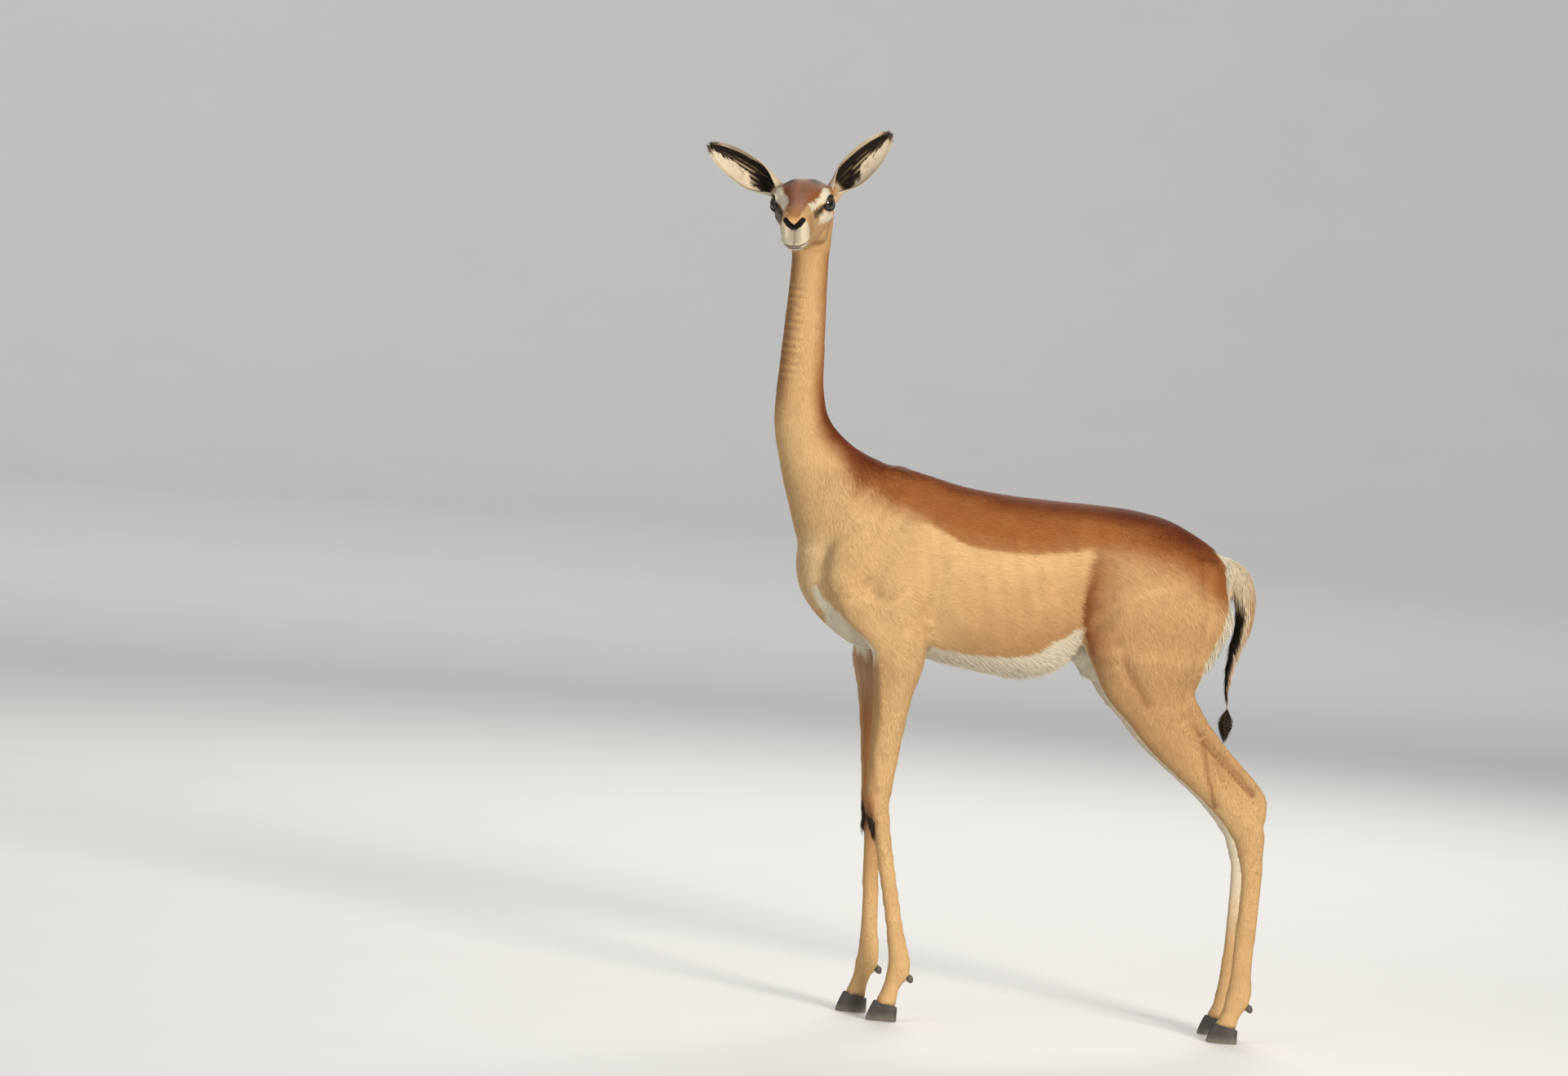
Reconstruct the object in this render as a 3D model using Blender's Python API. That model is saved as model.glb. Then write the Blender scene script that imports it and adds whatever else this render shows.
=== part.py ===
# A life-size standing gerenuk hen, built in metres with +Z up.
# The animal faces -X, its left side is at -Y, and its head is turned to look out past that side.
# Flesh is lofted section by section, fused and relaxed into one body, then parted with thin cuts.
import math

import bmesh
import bpy
import numpy as np
from mathutils import Matrix, Vector

# Driving dimensions
GAP = 0.0003  # clearance that is kept between touching solids
LEFT = -1
RIGHT = 1
BODY_VOXEL = 0.0040
HEAD_VOXEL = 0.0018
BODY_TRIANGLES = 5350
HEAD_TRIANGLES = 3440
ORIGIN_SHIFT = (0.12694, 0.02957)  # brings the middle of the box around the animal over the origin

# Head: where it sits and how it is turned
HEAD_AT = Vector((-0.4722, -0.0120, 1.3413))
HEAD_YAW = math.radians(12.3)  # from looking straight along -Y, towards -X
HEAD_PITCH = math.radians(3.2)  # nose below level
HEAD_ROLL = math.radians(4.0)  # left side raised
EYE_RADIUS = 0.0168
LID = 0.0024  # how thick the lids are over the eyeball
EYE_AT = (0.0480, 0.0368, 0.0200)  # forward, sideways, up in the head's own frame
EYE_LOOKS = (0.48, 0.87, 0.10)
EYE_TILT = math.radians(30.0)  # the inner corner lies lower
EYE_OPENING = (math.radians(54.0), math.radians(41.0))
EAR_ROOT = (-0.0120, 0.0400, 0.0310)
EAR_LENGTH = 0.144
EAR_RUNS = {LEFT: (0.05, 0.693, 0.721), RIGHT: (-0.05, 0.824, 0.566)}
EAR_OPENS = (0.94, 0.30, 0.10)
EAR_STUB = 0.0172  # radius of the muscle that carries the ear
# Ear sections: share of the length, radius of the cup, how far its edge curls round in degrees, thickness
EAR = (
    (0.070, 0.0143, 168, 0.0040),
    (0.16, 0.0170, 142, 0.0034),
    (0.27, 0.0218, 112, 0.0028),
    (0.40, 0.0260, 89, 0.0025),
    (0.55, 0.0275, 73, 0.0022),
    (0.70, 0.0277, 60, 0.0020),
    (0.84, 0.0256, 46, 0.0018),
    (0.94, 0.0212, 33, 0.0016),
    (1.00, 0.0143, 14, 0.0012),
)

# Torso sections: x, top, bottom, half width, height share of the widest point, squareness above and below
TORSO = (
    (-0.4420, 0.795, 0.745, 0.020, 0.50, 2.0, 2.0),
    (-0.4300, 0.835, 0.707, 0.038, 0.50, 2.0, 1.9),
    (-0.4000, 0.872, 0.668, 0.057, 0.52, 1.9, 1.8),
    (-0.3500, 0.905, 0.630, 0.074, 0.50, 1.8, 1.7),
    (-0.3000, 0.933, 0.616, 0.084, 0.46, 1.6, 1.7),
    (-0.2400, 0.922, 0.612, 0.092, 0.44, 1.7, 1.8),
    (-0.1700, 0.905, 0.602, 0.106, 0.44, 1.9, 2.0),
    (-0.1000, 0.896, 0.590, 0.117, 0.44, 2.0, 2.1),
    (-0.0500, 0.893, 0.587, 0.120, 0.44, 2.1, 2.1),
    (0.0000, 0.891, 0.600, 0.113, 0.46, 2.2, 2.0),
    (0.0350, 0.890, 0.628, 0.103, 0.50, 2.2, 2.0),
    (0.0600, 0.889, 0.662, 0.098, 0.54, 2.2, 2.0),
    (0.1200, 0.885, 0.670, 0.099, 0.55, 2.1, 2.0),
    (0.1800, 0.873, 0.680, 0.095, 0.52, 2.0, 2.0),
    (0.2300, 0.850, 0.690, 0.082, 0.50, 1.9, 2.0),
    (0.2650, 0.828, 0.700, 0.062, 0.50, 1.9, 2.0),
    (0.2900, 0.800, 0.725, 0.034, 0.50, 2.0, 2.0),
)

# Neck sections: centre x, centre z, half depth along the profile, half width, tilt in degrees
NECK = (
    (-0.4560, 1.345, 0.0330, 0.0330, 0),
    (-0.4570, 1.300, 0.0325, 0.0320, 0),
    (-0.4570, 1.240, 0.0330, 0.0310, 0),
    (-0.4570, 1.170, 0.0355, 0.0320, 0),
    (-0.4575, 1.100, 0.0385, 0.0340, 2),
    (-0.4570, 1.045, 0.0415, 0.0360, 4),
    (-0.4490, 0.990, 0.0490, 0.0410, 8),
    (-0.4180, 0.935, 0.0670, 0.0510, 18),
    (-0.3850, 0.893, 0.0880, 0.0640, 28),
    (-0.3500, 0.845, 0.1080, 0.0720, 34),
    (-0.3150, 0.790, 0.1080, 0.0640, 38),
)

# Shoulder blade, humerus and triceps: x, side offset, z, half depth, half width
SHOULDER = (
    ((-0.288, 0.030, 0.900, 0.036, 0.016), (-0.318, 0.052, 0.840, 0.052, 0.024),
     (-0.352, 0.062, 0.775, 0.048, 0.026), (-0.368, 0.064, 0.730, 0.030, 0.022)),
    ((-0.372, 0.060, 0.740, 0.024, 0.022), (-0.335, 0.068, 0.695, 0.036, 0.024),
     (-0.285, 0.070, 0.645, 0.034, 0.024)),
    ((-0.272, 0.062, 0.830, 0.030, 0.020), (-0.272, 0.072, 0.750, 0.050, 0.026),
     (-0.262, 0.072, 0.665, 0.044, 0.026)),
)

# Leg joints: x, side offset, z
FORE_JOINTS = {
    LEFT: ((-0.268, 0.070, 0.690), (-0.265, 0.070, 0.610), (-0.2815, 0.062, 0.362),
           (-0.2675, 0.060, 0.310), (-0.2215, 0.056, 0.097), (-0.2400, 0.056, 0.030)),
    RIGHT: ((-0.278, 0.070, 0.690), (-0.284, 0.070, 0.610), (-0.2725, 0.062, 0.362),
            (-0.2710, 0.060, 0.310), (-0.2620, 0.056, 0.097), (-0.2790, 0.056, 0.030)),
}
HIND_JOINTS = {
    LEFT: ((0.3520, 0.064, 0.352), (0.3625, 0.062, 0.285), (0.3570, 0.060, 0.084), (0.3390, 0.060, 0.029)),
    RIGHT: ((0.3540, 0.064, 0.352), (0.3645, 0.062, 0.285), (0.3600, 0.060, 0.084), (0.3420, 0.060, 0.029)),
}

# Leg sections between two joints: share of the way, half depth, half width
FOREARM = ((0.0, 0.0450, 0.0280), (0.22, 0.0345, 0.0245), (0.44, 0.0290, 0.0215),
           (0.67, 0.0255, 0.0190), (0.88, 0.0232, 0.0188))
FORE_KNEE = ((0.0, 0.0220, 0.0195), (0.55, 0.0185, 0.0170))
FORE_CANNON = ((0.0, 0.0158, 0.0138), (0.30, 0.0152, 0.0122), (0.70, 0.0157, 0.0124),
               (0.88, 0.0180, 0.0142))
FORE_PASTERN = ((0.0, 0.0198, 0.0162), (0.25, 0.0185, 0.0158), (0.60, 0.0152, 0.0142),
                (1.0, 0.0185, 0.0172), (1.25, 0.0200, 0.0180))
HIND_HOCK = ((0.0, 0.0280, 0.0190), (0.50, 0.0225, 0.0165))
HIND_CANNON = ((0.0, 0.0195, 0.0142), (0.35, 0.0185, 0.0126), (0.75, 0.0192, 0.0128),
               (0.90, 0.0208, 0.0145))
HIND_PASTERN = ((0.0, 0.0222, 0.0165), (0.25, 0.0208, 0.0162), (0.60, 0.0168, 0.0145),
                (1.0, 0.0192, 0.0172), (1.25, 0.0205, 0.0180))

# Thigh and gaskin of a hind leg: x, side offset, z, half depth, half width, tilt of the section
THIGH = (
    (0.190, 0.046, 0.815, 0.075, 0.032, 0),
    (0.176, 0.056, 0.760, 0.108, 0.042, 0),
    (0.167, 0.060, 0.709, 0.129, 0.044, 0),
    (0.160, 0.060, 0.660, 0.115, 0.042, 0),
    (0.160, 0.060, 0.610, 0.091, 0.038, 0),
    (0.167, 0.061, 0.573, 0.072, 0.034, -6),
    (0.188, 0.063, 0.543, 0.058, 0.031, -14),
    (0.206, 0.064, 0.515, 0.048, 0.028, -24),
    (0.228, 0.065, 0.486, 0.038, 0.025, -38),
    (0.268, 0.066, 0.446, 0.031, 0.021, -42),
    (0.303, 0.066, 0.413, 0.028, 0.019, -42),
    (0.332, 0.065, 0.383, 0.029, 0.019, -34),
    (0.350, 0.064, 0.352, 0.0275, 0.019, -8),
)
TENDON = ((0.232, 0.064, 0.574, 0.0130, 0.0130), (0.250, 0.064, 0.546, 0.0120, 0.0115),
          (0.276, 0.065, 0.514, 0.0105, 0.0095), (0.318, 0.066, 0.473, 0.0090, 0.0080),
          (0.352, 0.066, 0.438, 0.0095, 0.0090), (0.366, 0.065, 0.412, 0.0125, 0.0115),
          (0.364, 0.064, 0.380, 0.0150, 0.0130))
WEB = ((0.234, 0.064, 0.530, 0.018, 0.0090), (0.264, 0.065, 0.490, 0.021, 0.0062),
       (0.305, 0.065, 0.450, 0.019, 0.0060), (0.340, 0.065, 0.412, 0.017, 0.0080))
KNEE_BRUSH = (0.0070, 0.0090, 0.0170)  # half sizes of the pad that the hair below each knee grows on

# Tail: x, z, half depth, half width; it hangs in the animal's middle plane
TAIL = (
    (0.3000, 0.7930, 0.0190, 0.0175),
    (0.3160, 0.7740, 0.0195, 0.0180),
    (0.3240, 0.7400, 0.0175, 0.0165),
    (0.3235, 0.7050, 0.0145, 0.0140),
    (0.3140, 0.6680, 0.0105, 0.0110),
    (0.3060, 0.6300, 0.0065, 0.0080),
    (0.3045, 0.5950, 0.0050, 0.0060),
    (0.3070, 0.5620, 0.0048, 0.0052),
)
TAIL_AXIS = Vector((TAIL[1][0] - TAIL[0][0], 0, TAIL[1][1] - TAIL[0][1])).normalized()
TAIL_ROOT = ((0.250, 0.796, 0.0150), (0.278, 0.800, 0.0185), (0.290, 0.799, 0.0195))
TUFT_LENGTH = 0.066

# Cuts between the nodes
HEAD_CUT = -0.060  # level in the head's own frame
NECK_CUT = Vector((-0.408, 0, 0.930))
NECK_CUT_FACES = Vector((-0.45, 0, 0.89))
NECK_CUTS = (1.030, 1.165)
BARREL_CUTS = (-0.175, 0.030)
UDDER_BOX = ((0.0305, -0.027, 0.560), (0.140, 0.027, 0.664))
FORE_CUT = 0.604
FORE_PARTS = (("forearm", 0.392), ("cannon", 0.096))
HIND_PARTS = (("thigh", 0.545), ("gaskin", 0.372), ("cannon", 0.083))

# Long hair, as flat tapered locks: how many, length, half width, half thickness
FRINGE_LOCKS = (15, 0.038, 0.0056, 0.0017)
TUFT_LOCKS = (12, 0.052, 0.0052, 0.0018)
BRUSH_LOCKS = (6, 0.031, 0.0044, 0.0017)
LOCK_SPREAD = 0.18  # how much the locks differ from one another
SEED = 7

# Hoof: one claw, as its outline from heel to toe; lengths run forward from the heel
CLAW_LENGTH = 0.051
CLAW_WIDTH = 0.0158
CLAW_HEEL = 0.0188  # how far the heel lies behind the middle of the coronet
CLEFT = 0.0022
CORONET_TILT = math.radians(14.0)  # the hoof's upper rim falls towards the heel
# From the sole up: share of the height, how long the outline still is
CLAW_LEVELS = ((0.0, 1.00), (0.30, 0.945), (0.65, 0.855), (1.0, 0.750))

# Head sections: forward, top, bottom, half width, height share of the widest point, squareness above, below
HEAD = (
    (-0.0480, 0.020, -0.012, 0.016, 0.5, 2.0, 2.0),
    (-0.0400, 0.039, -0.030, 0.031, 0.5, 2.1, 2.0),
    (-0.0200, 0.053, -0.043, 0.042, 0.5, 2.3, 2.0),
    (0.0050, 0.0585, -0.050, 0.0475, 0.55, 2.5, 1.9),
    (0.0300, 0.0585, -0.053, 0.0490, 0.62, 2.6, 1.7),
    (0.0550, 0.053, -0.055, 0.0440, 0.62, 2.5, 1.7),
    (0.0800, 0.043, -0.055, 0.034, 0.60, 2.4, 1.8),
    (0.1050, 0.0335, -0.0545, 0.0275, 0.58, 2.4, 2.0),
    (0.1300, 0.0260, -0.0540, 0.0248, 0.55, 2.4, 2.1),
    (0.1480, 0.0195, -0.0530, 0.0243, 0.52, 2.4, 2.2),
    (0.1600, 0.0125, -0.0500, 0.0220, 0.50, 2.3, 2.2),
    (0.1680, 0.0030, -0.0420, 0.0150, 0.50, 2.0, 2.0),
)
CHEEK_MUSCLE = ((0.020, 0.026, -0.022), (0.035, 0.014, 0.026))  # place and three radii
BROW_RIDGE = ((0.040, 0.029, 0.036), (0.026, 0.014, 0.013))
CHEEK_ARCH = ((-0.020, 0.036, 0.008, 0.010), (0.015, 0.039, 0.000, 0.009),
              (0.045, 0.035, -0.002, 0.009), (0.075, 0.024, -0.006, 0.009))  # place and radius
MOUTH_LEVEL = -0.0445  # of the line of the mouth at the front
MOUTH_RISE = 0.0095  # how much higher its corners lie
MOUTH_CORNER = 0.1130  # how far forward the corners are


def clear_scene():
    for obj in list(bpy.data.objects):
        bpy.data.objects.remove(obj, do_unlink=True)


def head_axes():
    """Forward, left and up of the turned head."""
    forward = Vector((-math.sin(HEAD_YAW), -math.cos(HEAD_YAW), 0.0))
    left = Vector((0, 0, 1)).cross(forward)
    up = Vector((0, 0, 1))
    pitch = Matrix.Rotation(HEAD_PITCH, 3, left)
    forward, up = pitch @ forward, pitch @ up
    roll = Matrix.Rotation(HEAD_ROLL, 3, forward)
    return forward, roll @ left, roll @ up


HEAD_FORWARD, HEAD_LEFT, HEAD_UP = head_axes()


def head_point(forward, left, up):
    return HEAD_AT + HEAD_FORWARD * forward + HEAD_LEFT * left + HEAD_UP * up


def head_direction(vector):
    return HEAD_FORWARD * vector[0] + HEAD_LEFT * vector[1] + HEAD_UP * vector[2]


def superellipse(angle, squareness):
    """Sideways and upward share of an outline at this angle; 2 is an ellipse and more is squarer."""
    power = 2.0 / squareness
    across, rise = math.cos(angle), math.sin(angle)
    return math.copysign(abs(across) ** power, across), math.copysign(abs(rise) ** power, rise)


def section(centre, across, up, half_width, rise, drop, above=2.0, below=2.0, sides=28):
    ring = []
    for k in range(sides):
        angle = 2 * math.pi * k / sides
        sideways, height = superellipse(angle, above if math.sin(angle) >= 0 else below)
        reach = rise if height >= 0 else drop
        ring.append(centre + across * (half_width * sideways) + up * (reach * height))
    return ring


def loft(rings, name="loft"):
    """A closed body through rings of equal length."""
    mesh = bmesh.new()
    loops = [[mesh.verts.new(point) for point in ring] for ring in rings]
    sides = len(loops[0])
    for low, high in zip(loops, loops[1:]):
        for k in range(sides):
            after = (k + 1) % sides
            mesh.faces.new((low[k], low[after], high[after], high[k]))
    mesh.faces.new(list(reversed(loops[0])))
    mesh.faces.new(loops[-1])
    bmesh.ops.recalc_face_normals(mesh, faces=mesh.faces)
    data = bpy.data.meshes.new(name)
    mesh.to_mesh(data)
    mesh.free()
    obj = bpy.data.objects.new(name, data)
    bpy.context.scene.collection.objects.link(obj)
    return obj


def smooth_rows(rows, steps=4):
    """Catmull-Rom rows between the given ones, so that a loft bends without corners."""
    rows = [np.array(row, float) for row in rows]
    padded = [2 * rows[0] - rows[1], *rows, 2 * rows[-1] - rows[-2]]
    made = []
    for before, start, end, after in zip(padded, padded[1:], padded[2:], padded[3:]):
        for step in range(steps):
            t = step / steps
            square = (2 * before - 5 * start + 4 * end - after) * t**2
            cube = (3 * start - before - 3 * end + after) * t**3
            made.append(0.5 * (2 * start + (end - before) * t + square + cube))
    return [*made, rows[-1]]


def rounded_rows(rows):
    """Adds shrinking rows past both ends, so that a muscle runs out instead of ending in a flat cap."""
    ends = []
    for end, inner in ((rows[0], rows[1]), (rows[-1], rows[-2])):
        end, inner = np.array(end, float), np.array(inner, float)
        way = end[:3] - inner[:3]
        way = way / np.linalg.norm(way)
        ends.append([np.concatenate([end[:3] + way * end[3] * step, end[3:] * size])
                     for step, size in ((0.35, 0.90), (0.65, 0.68), (0.85, 0.30))])
    return [*reversed(ends[0]), *rows, *ends[1]]


def side_tube(rows, side, sides=24):
    """A loft down the animal's side through rows of x, side offset, z, half depth and half width."""
    rows = rounded_rows(smooth_rows(rows))
    points = [Vector((row[0], side * row[1], row[2])) for row in rows]
    rings = []
    for k, row in enumerate(rows):
        along = points[min(k + 1, len(points) - 1)] - points[max(k - 1, 0)]
        depth = along.cross(Vector((0, 1, 0))).normalized()
        rings.append(section(points[k], Vector((0, 1, 0)), depth, row[4], row[3], row[3], sides=sides))
    return loft(rings)


def torso():
    rings = []
    for x, top, bottom, width, widest, above, below in smooth_rows(TORSO):
        level = bottom + (top - bottom) * widest
        rings.append(section(Vector((x, 0, level)), Vector((0, 1, 0)), Vector((0, 0, 1)), width,
                             top - level, level - bottom, above, below, 40))
    return loft(rings)


def neck():
    rings = []
    for x, z, depth, width, tilt in smooth_rows(NECK):
        angle = math.radians(tilt)
        back = Vector((math.cos(angle), 0, math.sin(angle)))
        rings.append(section(Vector((x, 0, z)), Vector((0, 1, 0)), back, width, depth, depth, 1.9, 2.1, 32))
    return loft(rings)


def thigh(side):
    rings = []
    for x, offset, z, depth, width, tilt in smooth_rows(THIGH):
        angle = math.radians(-tilt)
        back = Vector((math.cos(angle), 0, math.sin(angle)))
        centre = Vector((x, side * offset, z))
        rings.append(section(centre, Vector((0, 1, 0)), back, width, depth, depth, sides=32))
    return loft(rings)


def between(start, end, shares):
    """Section rows of a leg bone from one joint to the next."""
    return [tuple(a + (b - a) * share for a, b in zip(start, end)) + (depth, width)
            for share, depth, width in shares]


def foreleg(side):
    shoulder, elbow, knee, below_knee, fetlock, coronet = FORE_JOINTS[side]
    rows = [shoulder + (0.050, 0.028)]
    rows += between(elbow, knee, FOREARM)
    rows += between(knee, below_knee, FORE_KNEE)
    rows += between(below_knee, fetlock, FORE_CANNON)
    rows += between(fetlock, coronet, FORE_PASTERN)
    return side_tube(rows, side)


def hind_shank(side):
    hock, below_hock, fetlock, coronet = HIND_JOINTS[side]
    rows = [(hock[0] - 0.012, hock[1], hock[2] + 0.030, 0.0280, 0.0185)]
    rows += between(hock, below_hock, HIND_HOCK)
    rows += between(below_hock, fetlock, HIND_CANNON)
    rows += between(fetlock, coronet, HIND_PASTERN)
    return side_tube(rows, side)


def ball(centre, axes, radii, segments=24):
    """An ellipsoid with its three axes along the given directions."""
    mesh = bmesh.new()
    bmesh.ops.create_uvsphere(mesh, u_segments=segments, v_segments=segments // 2, radius=1.0)
    turn = Matrix((axes[0] * radii[0], axes[1] * radii[1], axes[2] * radii[2])).transposed()
    for vert in mesh.verts:
        vert.co = Vector(centre) + turn @ vert.co
    data = bpy.data.meshes.new("ball")
    mesh.to_mesh(data)
    mesh.free()
    obj = bpy.data.objects.new("ball", data)
    bpy.context.scene.collection.objects.link(obj)
    return obj


WORLD_AXES = (Vector((1, 0, 0)), Vector((0, 1, 0)), Vector((0, 0, 1)))


def dewclaws(joints, side):
    """The two small claws behind a fetlock."""
    fetlock, coronet = joints[-2], joints[-1]
    made = []
    for inner in (-1, 1):
        centre = Vector((fetlock[0] + 0.0155, side * fetlock[1] + inner * 0.0090, fetlock[2] - 0.020))
        made.append(ball(centre, WORLD_AXES, (0.0065, 0.0052, 0.0095), 16))
    return made


def knee_brush(side):
    """The pad of long dark hair on the front of the leg, just below the knee."""
    below_knee = FORE_JOINTS[side][3]
    centre = Vector((below_knee[0] - 0.0165, side * (below_knee[1] + 0.004), below_knee[2] + 0.014))
    return ball(centre, WORLD_AXES, KNEE_BRUSH, 16)


def fused(pieces, voxel, rounds, name):
    """Overlapping bodies remeshed into one skin and relaxed, so that muscles run into each other."""
    target = pieces[0]
    with bpy.context.temp_override(active_object=target, selected_editable_objects=pieces):
        bpy.ops.object.join()
    target.name = name
    remesh = target.modifiers.new("skin", "REMESH")
    remesh.mode = "VOXEL"
    remesh.voxel_size = voxel
    remesh.adaptivity = 0.0
    relax = target.modifiers.new("relax", "SMOOTH")
    relax.factor = 0.5
    relax.iterations = rounds
    apply_modifiers(target)
    return target


def apply_modifiers(obj):
    graph = bpy.context.evaluated_depsgraph_get()
    data = bpy.data.meshes.new_from_object(obj.evaluated_get(graph))
    obj.modifiers.clear()
    obj.data = data


def thinned(obj, triangles):
    """Collapses edges until about this many triangles are left."""
    obj.modifiers.new("triangles", "TRIANGULATE")
    apply_modifiers(obj)
    thin = obj.modifiers.new("thin", "DECIMATE")
    thin.ratio = triangles / len(obj.data.polygons)
    apply_modifiers(obj)
    return obj


def body_flesh():
    pieces = [torso(), neck(), udder()]
    for side in (LEFT, RIGHT):
        pieces += [side_tube(rows, side) for rows in SHOULDER]
        pieces += [foreleg(side), thigh(side), hind_shank(side)]
        pieces += [side_tube(TENDON, side, 16), side_tube(WEB, side, 16)]
        pieces.append(knee_brush(side))
        pieces += dewclaws(FORE_JOINTS[side], side)
        pieces += dewclaws(HIND_JOINTS[side], side)
    pieces.append(tail_root())
    return fused(pieces, BODY_VOXEL, 7, "body")


def head_frame_array(obj):
    """Forward, left and up of every vertex in the head's own frame."""
    points = np.empty(len(obj.data.vertices) * 3)
    obj.data.vertices.foreach_get("co", points)
    frame = np.array([HEAD_FORWARD, HEAD_LEFT, HEAD_UP])
    return (points.reshape(-1, 3) - np.array(HEAD_AT)) @ frame.T


def write_head_frame(obj, local):
    frame = np.array([HEAD_FORWARD, HEAD_LEFT, HEAD_UP])
    points = local @ frame + np.array(HEAD_AT)
    obj.data.vertices.foreach_set("co", points.ravel())
    obj.data.update()


def head_normals(obj):
    normals = np.empty(len(obj.data.vertices) * 3)
    obj.data.vertices.foreach_get("normal", normals)
    return normals.reshape(-1, 3) @ np.array([HEAD_FORWARD, HEAD_LEFT, HEAD_UP]).T


def path_distance(points, path):
    """Distance of each point from a line through the path's places, and the share of the way along it."""
    best = np.full(len(points), 9.0)
    along = np.zeros(len(points))
    path = np.array(path, float)
    for k in range(len(path) - 1):
        start, run = path[k], path[k + 1] - path[k]
        share = np.clip((points - start) @ run / (run @ run), 0.0, 1.0)
        reach = np.linalg.norm(points - start - share[:, None] * run, axis=1)
        nearer = reach < best
        best[nearer] = reach[nearer]
        along[nearer] = (k + share[nearer]) / (len(path) - 1)
    return best, along


# Forms worked into the head: radius, height, then the path's places (forward, sideways, up) on both sides
HEAD_MARKS = (
    (0.0014, -0.0016, (0.1670, 0.0000, -0.0145), (0.1680, 0.0000, -0.0395)),  # groove between the nostrils
    (0.0027, -0.0068, (0.1690, 0.0035, -0.0110), (0.1680, 0.0100, -0.0058), (0.1600, 0.0175, 0.0036)),  # nostril
    (0.0036, 0.0018, (0.1640, 0.0080, 0.0036), (0.1550, 0.0150, 0.0104)),  # rim over the nostril
    (0.0036, 0.0012, (0.1660, 0.0120, -0.0145), (0.1590, 0.0190, -0.0075)),  # wing of the nostril
    (0.0036, -0.0024, (0.0960, 0.0300, 0.0040), (0.0860, 0.0320, 0.0050)),  # gland pit before the eye
    (0.0026, -0.0018, (0.0690, 0.0370, 0.0080), (0.0790, 0.0330, 0.0040)),  # tear duct
    (0.0050, 0.0022, (0.0250, 0.0430, 0.0330), (0.0440, 0.0410, 0.0405), (0.0640, 0.0330, 0.0350)),  # brow
    (0.0060, 0.0020, (0.0680, 0.0360, -0.0040), (0.0450, 0.0440, -0.0060), (0.0150, 0.0460, 0.0)),  # cheek
    (0.0090, -0.0022, (0.1050, 0.0270, -0.0100), (0.0700, 0.0360, -0.0200)),  # hollow of the cheek
    (0.0110, -0.0018, (0.0850, 0.0000, 0.0440), (0.0600, 0.0000, 0.0530)),  # dip between the eyes
    (0.0080, -0.0020, (0.0040, 0.0420, 0.0280), (0.0100, 0.0400, 0.0420)),  # temple
    (0.0070, 0.0014, (0.0350, 0.0160, 0.0590), (0.0120, 0.0180, 0.0610)),  # skull over the eyes
)


def mouth_level(forward):
    """Height of the line of the mouth at this distance forward."""
    back = np.clip((HEAD[-1][0] - forward) / (HEAD[-1][0] - MOUTH_CORNER), 0.0, None)
    return MOUTH_LEVEL + MOUTH_RISE * back**1.3


def work_mouth(obj):
    """The line of the mouth round the muzzle, between an upper and a lower lip."""
    local = head_frame_array(obj)
    normals = head_normals(obj)
    off = local[:, 2] - mouth_level(local[:, 0])
    fade = np.clip((local[:, 0] - MOUTH_CORNER) / 0.010, 0.0, 1.0)
    line = -0.0030 * np.exp(-((off / 0.0016) ** 2))
    upper = 0.0011 * np.exp(-(((off - 0.0050) / 0.0030) ** 2))
    lower = 0.0010 * np.exp(-(((off + 0.0046) / 0.0028) ** 2))
    write_head_frame(obj, local + normals * ((line + upper + lower) * fade)[:, None])


def work_marks(obj, marks):
    local = head_frame_array(obj)
    moved = np.zeros_like(local)
    normals = head_normals(obj)
    for radius, height, *path in marks:
        for side in (LEFT, RIGHT):
            if side == RIGHT and max(abs(place[1]) for place in path) == 0:
                continue
            placed = [(place[0], -side * place[1], place[2]) for place in path]
            reach, _ = path_distance(local, placed)
            moved += normals * (height * np.exp(-((reach / radius) ** 2)))[:, None]
    write_head_frame(obj, local + moved)


def eye_axes(side):
    """Looking direction, the direction to the eye's inner corner and upward, in world terms."""
    looks = head_direction((EYE_LOOKS[0], -side * EYE_LOOKS[1], EYE_LOOKS[2])).normalized()
    inner = (HEAD_FORWARD - looks * HEAD_FORWARD.dot(looks)).normalized()
    up = inner.cross(looks) * (1 if inner.cross(looks).dot(HEAD_UP) > 0 else -1)
    tilted = inner * math.cos(EYE_TILT) - up * math.sin(EYE_TILT)
    return looks, tilted, up * math.cos(EYE_TILT) + inner * math.sin(EYE_TILT)


def eye_centre(side):
    return head_point(EYE_AT[0], -side * EYE_AT[1], EYE_AT[2])


def eye_ball(side, radius, name):
    looks, inner, up = eye_axes(side)
    axes = (inner, up, looks) if inner.cross(up).dot(looks) > 0 else (up, inner, looks)
    made = ball(eye_centre(side), axes, (radius, radius, radius), 18)
    made.name = name
    return made


def eye_slit(side):
    """A cone from the eye's centre that opens the lids to an almond."""
    looks, inner, up = eye_axes(side)
    rings = []
    for share in (0.15, 0.9, 1.7):
        depth = EYE_RADIUS * share
        wide = depth * math.tan(EYE_OPENING[0])
        high = depth * math.tan(EYE_OPENING[1])
        rings.append(section(eye_centre(side) + looks * depth, inner, up, wide, high, high, 1.75, 1.75, 24))
    return loft(rings)


def head_row_loft(rows, sides=24):
    """A tube through head-frame rows: forward, sideways, up, radius."""
    rows = smooth_rows(rows)
    points = [head_point(*row[:3]) for row in rows]
    rings = []
    for k, row in enumerate(rows):
        along = (points[min(k + 1, len(points) - 1)] - points[max(k - 1, 0)]).normalized()
        across = along.cross(HEAD_UP).normalized()
        rings.append(section(points[k], across, along.cross(across), row[3], row[3], row[3], sides=sides))
    return loft(rings)


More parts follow.
